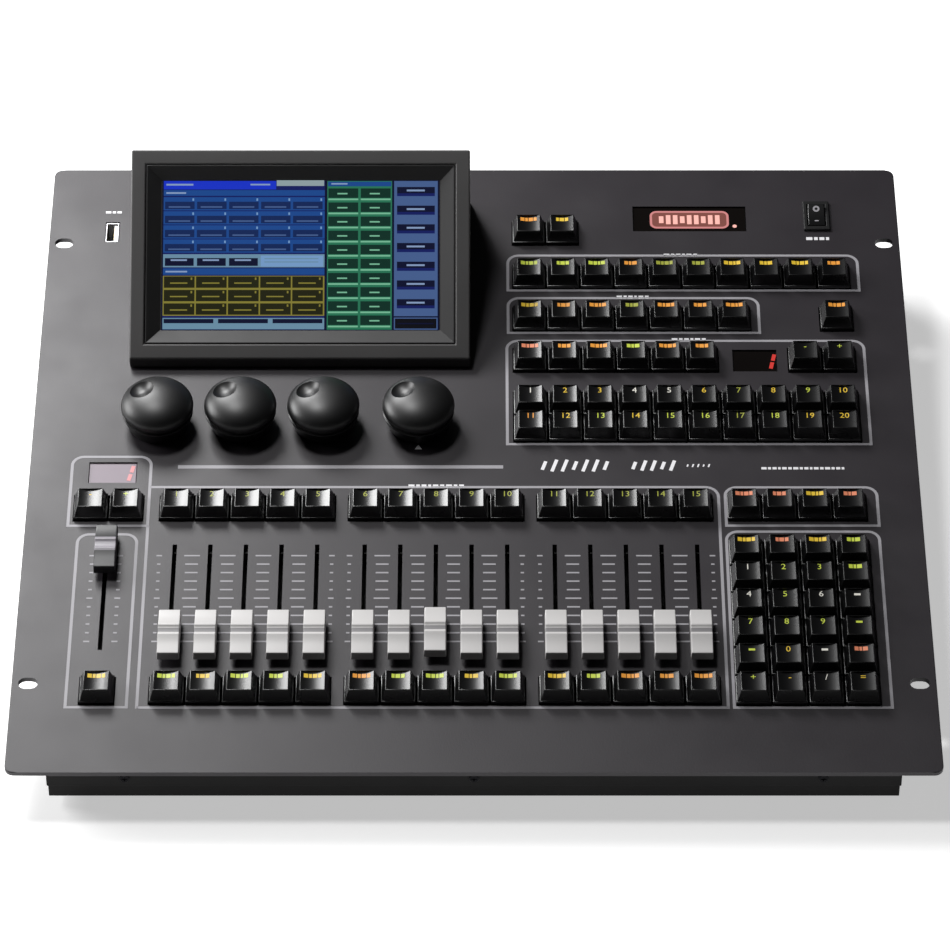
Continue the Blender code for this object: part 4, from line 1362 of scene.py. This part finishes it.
@dataclass
class BadgeWindow:
    """The lit badge: a plain lozenge round a row of bars, behind a smoked lens.

    Attributes:
        size: Width and height of the lozenge.
        line: Width of its outline.
        corner: Radius of its corners.
        bars: How many bars stand in it.
        bar_pitch: Distance between two bars.
        bar_half: Half a bar's width and half its height; every third bar is lower.
        low_share: How tall a low bar is against the others.
        stand: How far the marks stand out of the lens.
    """

    node: str = "badge_window"
    size: Spot = (45 * MM, 14 * MM)
    line: float = 1.3 * MM
    corner: float = 4.0 * MM
    bars: int = 9
    bar_pitch: float = 4.0 * MM
    bar_half: Spot = (1.3 * MM, 3.6 * MM)
    low_share: float = 0.75
    stand: float = 0.2 * MM

    def ring(self, middle: Spot, floor: float) -> bpy.types.Object:
        """Makes the lozenge's outline as a raised ring."""
        half_x, half_y = self.size[0] / 2, self.size[1] / 2
        made = self.lozenge(middle, half_x, half_y, floor, floor + 0.15 * MM, self.corner)
        inner = (half_x - self.line, half_y - self.line, floor - MM, floor + MM, self.corner - self.line)
        cut(made, [self.lozenge(middle, *inner)])
        return made

    def lozenge(
        self, middle: Spot, half_x: float, half_y: float, bottom: float, top: float, corner: float
    ) -> bpy.types.Object:
        """Makes a flat block with four round corners about a spot."""
        low, high = (middle[0] - half_x, middle[1] - half_y), (middle[0] + half_x, middle[1] + half_y)
        made = block("badge_ring", (*low, bottom), (*high, top))
        with editing(made):
            choose(made, Element.EDGES, lambda at, along: abs(along.x) + abs(along.y) < 1e-7)
            bpy.ops.mesh.bevel(offset=corner, segments=8, affect="EDGES")
        return made

    def build(self) -> None:
        """Builds the lens and the lit marks."""
        low, high = PANEL.bounds(self.node)
        lens = block("badge_lens", (low.x + MM, low.y + MM, low.z), (high.x - MM, high.y - MM, high.z))
        soften(lens, 0.3 * MM, 2)
        finished(paint(lens, LENS_ACRYLIC), DESK, [self.node])
        middle = ((low.x + high.x) / 2, (low.y + high.y) / 2)
        half_x, half_y = self.size[0] / 2, self.size[1] / 2
        floor = high.z - 0.02 * MM
        ground = self.lozenge(middle, half_x, half_y, floor, high.z + 0.08 * MM, self.corner)
        ground.name = "badge_ground"
        finished(paint(ground, BADGE_GROUND), DESK)
        finished(paint(self.ring(middle, high.z), BADGE_RED), DESK)
        parts, top = [], high.z + self.stand
        wide, tall = self.bar_half
        for step in range(self.bars):
            x = middle[0] + (step - self.bars // 2) * self.bar_pitch
            up = tall if step % 3 else tall * self.low_share
            parts.append(block("bar", (x - wide, middle[1] - up, floor), (x + wide, middle[1] + up, top)))
        dot = (middle[0] + half_x + 3.2 * MM, middle[1] - half_y + 1.8 * MM)
        parts.append(rod("badge_dot", dot, 1.2 * MM, high.z, top, 16))
        finished(paint(joined("badge_marks", parts), BADGE_PALE), DESK)


@dataclass
class PowerSwitch:
    """The rocker switch with its flanged body.

    Attributes:
        half_turn: Half the rocker's tilt, in degrees.
        sign_y: Distance of each sign from the hinge.
        dip: Height of the paddle's low middle above the hinge.
        rise: How much higher its ends are, at half its length.
        half_length: Half the paddle's length.
        print_low: How deep the signs reach into the paddle.
        print_high: How far they stand out.
    """

    half_turn: float = 9.0
    sign_y: float = 4.2 * MM
    dip: float = 2.8 * MM
    rise: float = 1.2 * MM
    half_length: float = 7.6 * MM
    print_low: float = -0.1 * MM
    print_high: float = 0.08 * MM

    def build(self) -> None:
        """Builds the body, the rocker and its two signs."""
        body = from_node("switch_body", "switch_flange")
        soften(body, 0.3 * MM, 2, 30.0)
        finished(paint(body, SOCKET_NYLON), DESK, ["switch_body"], LEVEL)
        rocker = from_node("power_rocker", "rocker_paddle")
        soften(rocker, 0.5 * MM, 3, 30.0)
        finished(paint(rocker, KEY_PBT), "power_rocker", ["power_rocker"], LEVEL)
        tilt = WorkFrame(PANEL.angle + math.radians(self.half_turn), self.pivot())
        low, high, y = self.print_low, self.print_high, self.sign_y
        bar = strip("on_sign", (-1.1 * MM, -y), (1.1 * MM, -y), 0.8 * MM, low, high)
        ring = rod("off_sign", (0, y), 1.9 * MM, low, high, 24)
        cut(ring, [rod("inner", (0, y), 0.9 * MM, -MM, MM, 24)])
        signs = joined("rocker_signs", [bar, ring])
        # The paddle is a shallow V, which the print lies on.
        for vertex in signs.data.vertices:
            vertex.co.z += self.dip + abs(vertex.co.y) * self.rise / self.half_length
        finished(paint(signs, SCREEN_INK), "power_rocker", place=tilt)

    def pivot(self) -> Vector:
        """Returns the rocker's hinge point."""
        joint = next(item for item in frame["joints"] if item["name"] == "power_rocker_tilt")
        return Vector(joint["pos_m"])


@dataclass
class UsbPort:
    """The USB socket: a folded steel shell round a white tongue with gilt contacts."""

    def build(self) -> None:
        """Builds the shell, the tongue and the contacts."""
        low, high = PANEL.bounds("usb_socket")
        shell = from_node("usb_socket", "usb_shell")
        soften(shell, 0.25 * MM, 2, 30.0)
        finished(paint(shell, STEEL), DESK, ["usb_socket"], LEVEL)
        inner_x, inner_y = high.x - 0.9 * MM, high.y - 1.2 * MM
        tongue = block("usb_tongue", (inner_x - 1.9 * MM, low.y + 1.2 * MM, low.z + 1.6 * MM),
                       (inner_x, inner_y, high.z - 0.9 * MM))
        soften(tongue, 0.2 * MM, 2)
        finished(paint(tongue, TONGUE_NYLON), DESK)
        middle_y = (low.y + high.y) / 2
        contacts = [
            block("contact", (inner_x - 2.05 * MM, middle_y + at * MM - 0.5 * MM, low.z + 3 * MM),
                  (inner_x - 1.8 * MM, middle_y + at * MM + 0.5 * MM, high.z - 1.4 * MM))
            for at in (-3.5, -1.0, 1.0, 3.5)
        ]
        finished(paint(joined("usb_contacts", contacts), BRASS), DESK)


# Casing


@dataclass
class Screw:
    """A pan-head screw with a cross recess, modelled upright over the origin."""

    radius: float = 2.8 * MM
    head: float = 1.5 * MM

    def build(self) -> bpy.types.Object:
        """Turns the head and cuts its recess.

        Returns:
            The screw.
        """
        outline = [(0.0, -3.0 * MM), (1.4 * MM, -3.0 * MM), (1.4 * MM, 0.0), (self.radius, 0.0)]
        outline += [(self.radius, 0.5 * self.head), (self.radius * 0.8, 0.9 * self.head), (0.0, self.head)]
        made = turned("screw", outline, 24)
        slots = [
            block("recess", (-a * MM, -b * MM, 0.5 * MM), (a * MM, b * MM, 3 * MM))
            for a, b in ((1.5, 0.3), (0.3, 1.5))
        ]
        cut(made, slots)
        return paint(made, BLACK_OXIDE)


@dataclass
class Casing:
    """The face plate, the body, the cover, the feet and their screws."""

    edge: float = 0.5 * MM

    def plate(self) -> None:
        """Rounds the sides and corners of the face plate, which powder coat always softens.

        The long front and rear edges, whose middles stand at X 0, stay sharp.
        """
        plate = from_node("face_plate", "front_plate")
        back = PANEL.matrix.inverted()
        low, high = PANEL.bounds("face_plate")
        corner, near = 4.6 * MM, 1e-5

        def outer(at: Vector, along: Vector) -> bool:
            """Says whether an edge runs round the plate's rim, on either face."""
            spot = back @ at
            flat = abs((back.to_3x3() @ along).z) < near
            face = abs(spot.z) < near or abs(spot.z - low.z) < near
            side = abs(abs(spot.x) - high.x) < near
            end = abs(spot.y - low.y) < near or abs(spot.y - high.y) < near
            by_corner = abs(spot.x) > high.x - corner and (
                spot.y < low.y + corner or spot.y > high.y - corner
            )
            return flat and face and (side or end or by_corner) and abs(spot.x) > 0

        with editing(plate):
            choose(plate, Element.EDGES, outer)
            bpy.ops.mesh.bevel(offset=self.edge, segments=2, affect="EDGES", clamp_overlap=False)
        finished(paint(plate, PANEL_COAT), DESK, ["face_plate"], LEVEL, 30.0)

    def base(self) -> None:
        """Softens the folded edges of the body and the cover pan."""
        for node in ("base_tray", "bottom_cover"):
            piece = from_node(node, f"{node}_sheet")
            soften(piece, 0.35 * MM, 2, 40.0)
            finished(paint(piece, BASE_COAT), DESK, [node], LEVEL, 30.0)

    def feet(self) -> None:
        """Turns a moulded rubber foot with a screw well and copies it."""
        low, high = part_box("foot_1")
        radius = (high.x - low.x) / 2
        outline = [(0.0, 1.6 * MM), (3.2 * MM, 1.6 * MM), (3.2 * MM, 0.3 * MM), (3.6 * MM, 0.0)]
        outline += [(radius * 0.82, 0.0), (radius * 0.87, 0.4 * MM), (radius * 0.98, high.z - 0.5 * MM)]
        outline += [(radius, high.z - 0.2 * MM), (radius * 0.99, high.z), (0.0, high.z)]
        pattern = paint(turned("foot", outline, 40), FOOT_RUBBER)
        for number in range(1, 5):
            low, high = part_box(f"foot_{number}")
            spot = ((low.x + high.x) / 2, (low.y + high.y) / 2, 0.0)
            piece = copied(pattern, f"foot_{number}_pad", spot)
            finished(piece, DESK, [f"foot_{number}"], LEVEL)
        bpy.data.objects.remove(pattern, do_unlink=True)

    def screws(self) -> None:
        """Sets screws in the front, the sides and the underside."""
        pattern = Screw().build()
        low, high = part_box("base_tray")
        cover_low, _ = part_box("bottom_cover")
        front_z = low.z + 6.4 * MM
        forward = Matrix.Rotation(math.pi / 2, 4, "X")
        spots = [Matrix.Translation((x, low.y - 0.1 * MM, front_z)) @ forward for x in (-0.18, 0.0, 0.18)]
        for side in (-1, 1):
            sideways = Matrix.Rotation(side * math.pi / 2, 4, "Y")
            spots += [
                Matrix.Translation((side * (high.x + 0.1 * MM), y, low.z + 4.5 * MM)) @ sideways
                for y in (-0.13, 0.0, 0.13)
            ]
        down = Matrix.Rotation(math.pi, 4, "X")
        spots += [
            Matrix.Translation((x, y, cover_low.z - 0.05 * MM)) @ down
            for x in (-0.2, 0.0, 0.2)
            for y in (-0.2, 0.2)
        ]
        parts = []
        for spot in spots:
            part = copied(pattern, "casing_screw", (0, 0, 0))
            part.data.transform(spot)
            parts.append(part)
        finished(joined("casing_screws", parts), DESK, place=LEVEL)
        bpy.data.objects.remove(pattern, do_unlink=True)

    def build(self) -> None:
        """Builds the whole casing."""
        self.plate()
        self.base()
        self.feet()
        self.screws()


@dataclass
class RearPanel:
    """The sockets on the rear wall and what shows inside them.

    Attributes:
        outputs: How many output sockets there are.
        half_width: Half the width of one of them.
        ring: Radius of the circle that its pins stand on.
    """

    outputs: int = 4
    half_width: float = 16 * MM
    ring: float = 4.2 * MM

    def middles(self) -> tuple[list[float], float]:
        """Returns the X of each output socket's middle, and their Z."""
        low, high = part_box("output_sockets")
        pitch = (high.x - low.x - 2 * self.half_width) / (self.outputs - 1)
        xs = [low.x + self.half_width + number * pitch for number in range(self.outputs)]
        return xs, (low.z + high.z) / 2

    def build(self) -> None:
        """Builds the output sockets, the inlet and their contacts."""
        sockets = from_node("output_sockets", "output_socket_shells")
        soften(sockets, 0.4 * MM, 2, 30.0)
        finished(paint(sockets, SOCKET_NYLON), DESK, ["output_sockets"], LEVEL, 30.0)
        inlet = from_node("power_inlet", "power_inlet_shell")
        soften(inlet, 0.4 * MM, 2, 30.0)
        finished(paint(inlet, SOCKET_NYLON), DESK, ["power_inlet"], LEVEL, 30.0)
        self.contacts()
        self.flanges()

    def contacts(self) -> None:
        """Sets three pins in each output socket and three blades in the inlet."""
        xs, middle_z = self.middles()
        face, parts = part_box("output_sockets")[1].y, []
        for x in xs:
            for turn in (90, 210, 330):
                angle = math.radians(turn)
                at = (x + self.ring * math.cos(angle), -(middle_z + self.ring * math.sin(angle)))
                parts.append(rod("pin", at, 1.15 * MM, face - 11 * MM, face - 2.5 * MM, 16))
        for part in parts:
            soften(part, 0.35 * MM, 2)
        pins = joined("output_pins", parts)
        pins.data.transform(Matrix.Rotation(-math.pi / 2, 4, "X"))
        finished(paint(pins, BRASS), DESK, place=LEVEL)
        low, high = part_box("power_inlet")
        x, z = (low.x + high.x) / 2, (low.z + high.z) / 2
        blades = [
            block("blade", (x + at - 1.0 * MM, high.y - 17.0 * MM, z + up - 2.0 * MM),
                  (x + at + 1.0 * MM, high.y - 3.0 * MM, z + up + 2.0 * MM))
            for at, up in ((-7 * MM, -1.5 * MM), (0.0, 1.5 * MM), (7 * MM, -1.5 * MM))
        ]
        for blade in blades:
            soften(blade, 0.3 * MM, 2)
        finished(paint(joined("inlet_blades", blades), STEEL), DESK, place=LEVEL)

    def flanges(self) -> None:
        """Sets a pair of screws beside each socket."""
        pattern = Screw(2.4 * MM, 1.2 * MM).build()
        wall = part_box("base_tray")[1].y
        xs, middle_z = self.middles()
        spots = []
        for x in xs:
            spots += [(x - 11 * MM, middle_z + 11 * MM), (x + 11 * MM, middle_z - 11 * MM)]
        low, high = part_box("power_inlet")
        middle = (low.x + high.x) / 2
        spots += [(middle - 20 * MM, middle_z), (middle + 20 * MM, middle_z)]
        backward = Matrix.Rotation(-math.pi / 2, 4, "X")
        parts = []
        for x, z in spots:
            part = copied(pattern, "socket_screw", (0, 0, 0))
            part.data.transform(Matrix.Translation((x, wall + 0.1 * MM, z)) @ backward)
            parts.append(part)
        finished(joined("socket_screws", parts), DESK, place=LEVEL)
        bpy.data.objects.remove(pattern, do_unlink=True)


class Inside:
    """The boards and the supply under the plate, which keep their CAD shapes."""

    finishes = {
        "main_board": SOLDER_MASK,
        "playback_board": DARK_MASK,
        "upper_key_board": DARK_MASK,
        "keypad_board": DARK_MASK,
        "encoder_board": SOLDER_MASK,
        "power_supply": STEEL,
    }

    def build(self) -> None:
        """Gives each inner node its finish."""
        for node, finish in self.finishes.items():
            paint(frame["nodes"][node], finish)
            LOG.info("%s keeps its CAD shape in %s", node, finish.name)


# Studio


@dataclass
class Studio:
    """The camera, the pale floor and the soft lights.

    Attributes:
        lens: Focal length in mm on a 36 mm sensor.
        elevation: How far the camera looks down from level, in degrees.
        reach: Distance from the camera to the plate's front edge along its line of sight.
        drop: How far that edge lies under the middle of the view.
        aside: How far the camera stands to the right of the desk's middle.
    """

    lens: float = 179.9
    elevation: float = 40.7
    reach: float = 2.4355
    drop: float = 0.1526
    aside: float = 0.0005

    def camera(self) -> None:
        """Sets the camera from where the plate's front edge lies in its view."""
        down = math.radians(self.elevation)
        ahead = Vector((0, math.cos(down), -math.sin(down)))
        up = Vector((0, math.sin(down), math.cos(down)))
        place = PANEL.origin - ahead * self.reach + up * self.drop + Vector((self.aside, 0, 0))
        bpy.ops.object.camera_add(location=place, rotation=(math.pi / 2 - down, 0, 0))
        camera = bpy.context.active_object
        camera.name = "desk_camera"
        camera.data.lens = self.lens
        camera.data.sensor_width = 36.0
        camera.data.clip_end = 50.0
        bpy.context.scene.camera = camera

    def lamp(self, name: str, spot: Point, aim: Point, size: Spot, power: float) -> None:
        """Hangs one rectangular soft light.

        Args:
            name: Its name.
            spot: Where it hangs.
            aim: What it faces.
            size: Its width and height.
            power: Its power in watts.
        """
        bpy.ops.object.light_add(type="AREA", location=spot)
        lamp = bpy.context.active_object
        lamp.name = name
        lamp.data.shape = "RECTANGLE"
        lamp.data.size, lamp.data.size_y = size
        lamp.data.energy = power
        lamp.rotation_euler = (Vector(aim) - Vector(spot)).to_track_quat("-Z", "Y").to_euler()

    def build(self) -> None:
        """Builds the floor, the lights, the world and the camera."""
        bpy.ops.object.select_all(action="DESELECT")
        bpy.ops.mesh.primitive_plane_add(size=12.0, location=(0, 0, 0))
        floor = bpy.context.active_object
        floor.name = "studio_floor"
        paint(floor, Finish("pale_lit_acrylic", "#F4F4F4", 0.9, glow="#FFFFFF", strength=0.5))
        self.lamp("key_softbox", (-0.46, 0.37, 2.0), (0, 0, 0.05), (0.32, 0.32), 14.5)
        self.lamp("left_softbox", (-0.47, 0.59, 0.8), (-0.2, 0, 0.05), (0.4, 0.35), 10.0)
        self.lamp("side_softbox", (-1.1, 0.3, 0.5), (-0.1, 0.1, 0.05), (0.6, 0.5), 11.0)
        world = bpy.data.worlds.new("studio")
        world.use_nodes = True
        shade = world.node_tree.nodes["Background"]
        shade.inputs["Color"].default_value = (1.0, 1.0, 1.0, 1.0)
        shade.inputs["Strength"].default_value = 0.02
        bpy.context.scene.world = world
        bpy.context.scene.view_settings.view_transform = "Standard"
        self.camera()


def main() -> None:
    """Builds the desk's looks round the frame."""
    logging.basicConfig(level=logging.INFO, format="%(name)s %(message)s")
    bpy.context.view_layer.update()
    bpy.ops.object.select_all(action="DESELECT")
    Studio().build()
    Casing().build()
    PlatePrint().build()
    Keyboard().build()
    FaderSet().build()
    WheelSet().build()
    TouchDisplay().build()
    # The page display's pale lens and pale lit segment carry a painted sheen: the soft light's reflection,
    # painted into their colours.
    NumericWindow("page_display", LENS_WITH_PAINTED_SHEEN, SEGMENT_WITH_PAINTED_SHEEN).build()
    NumericWindow("bank_display", LENS_ACRYLIC, LIT_SEGMENT).build()
    BadgeWindow().build()
    PowerSwitch().build()
    UsbPort().build()
    RearPanel().build()
    Inside().build()


if __name__ == "__main__":
    main()
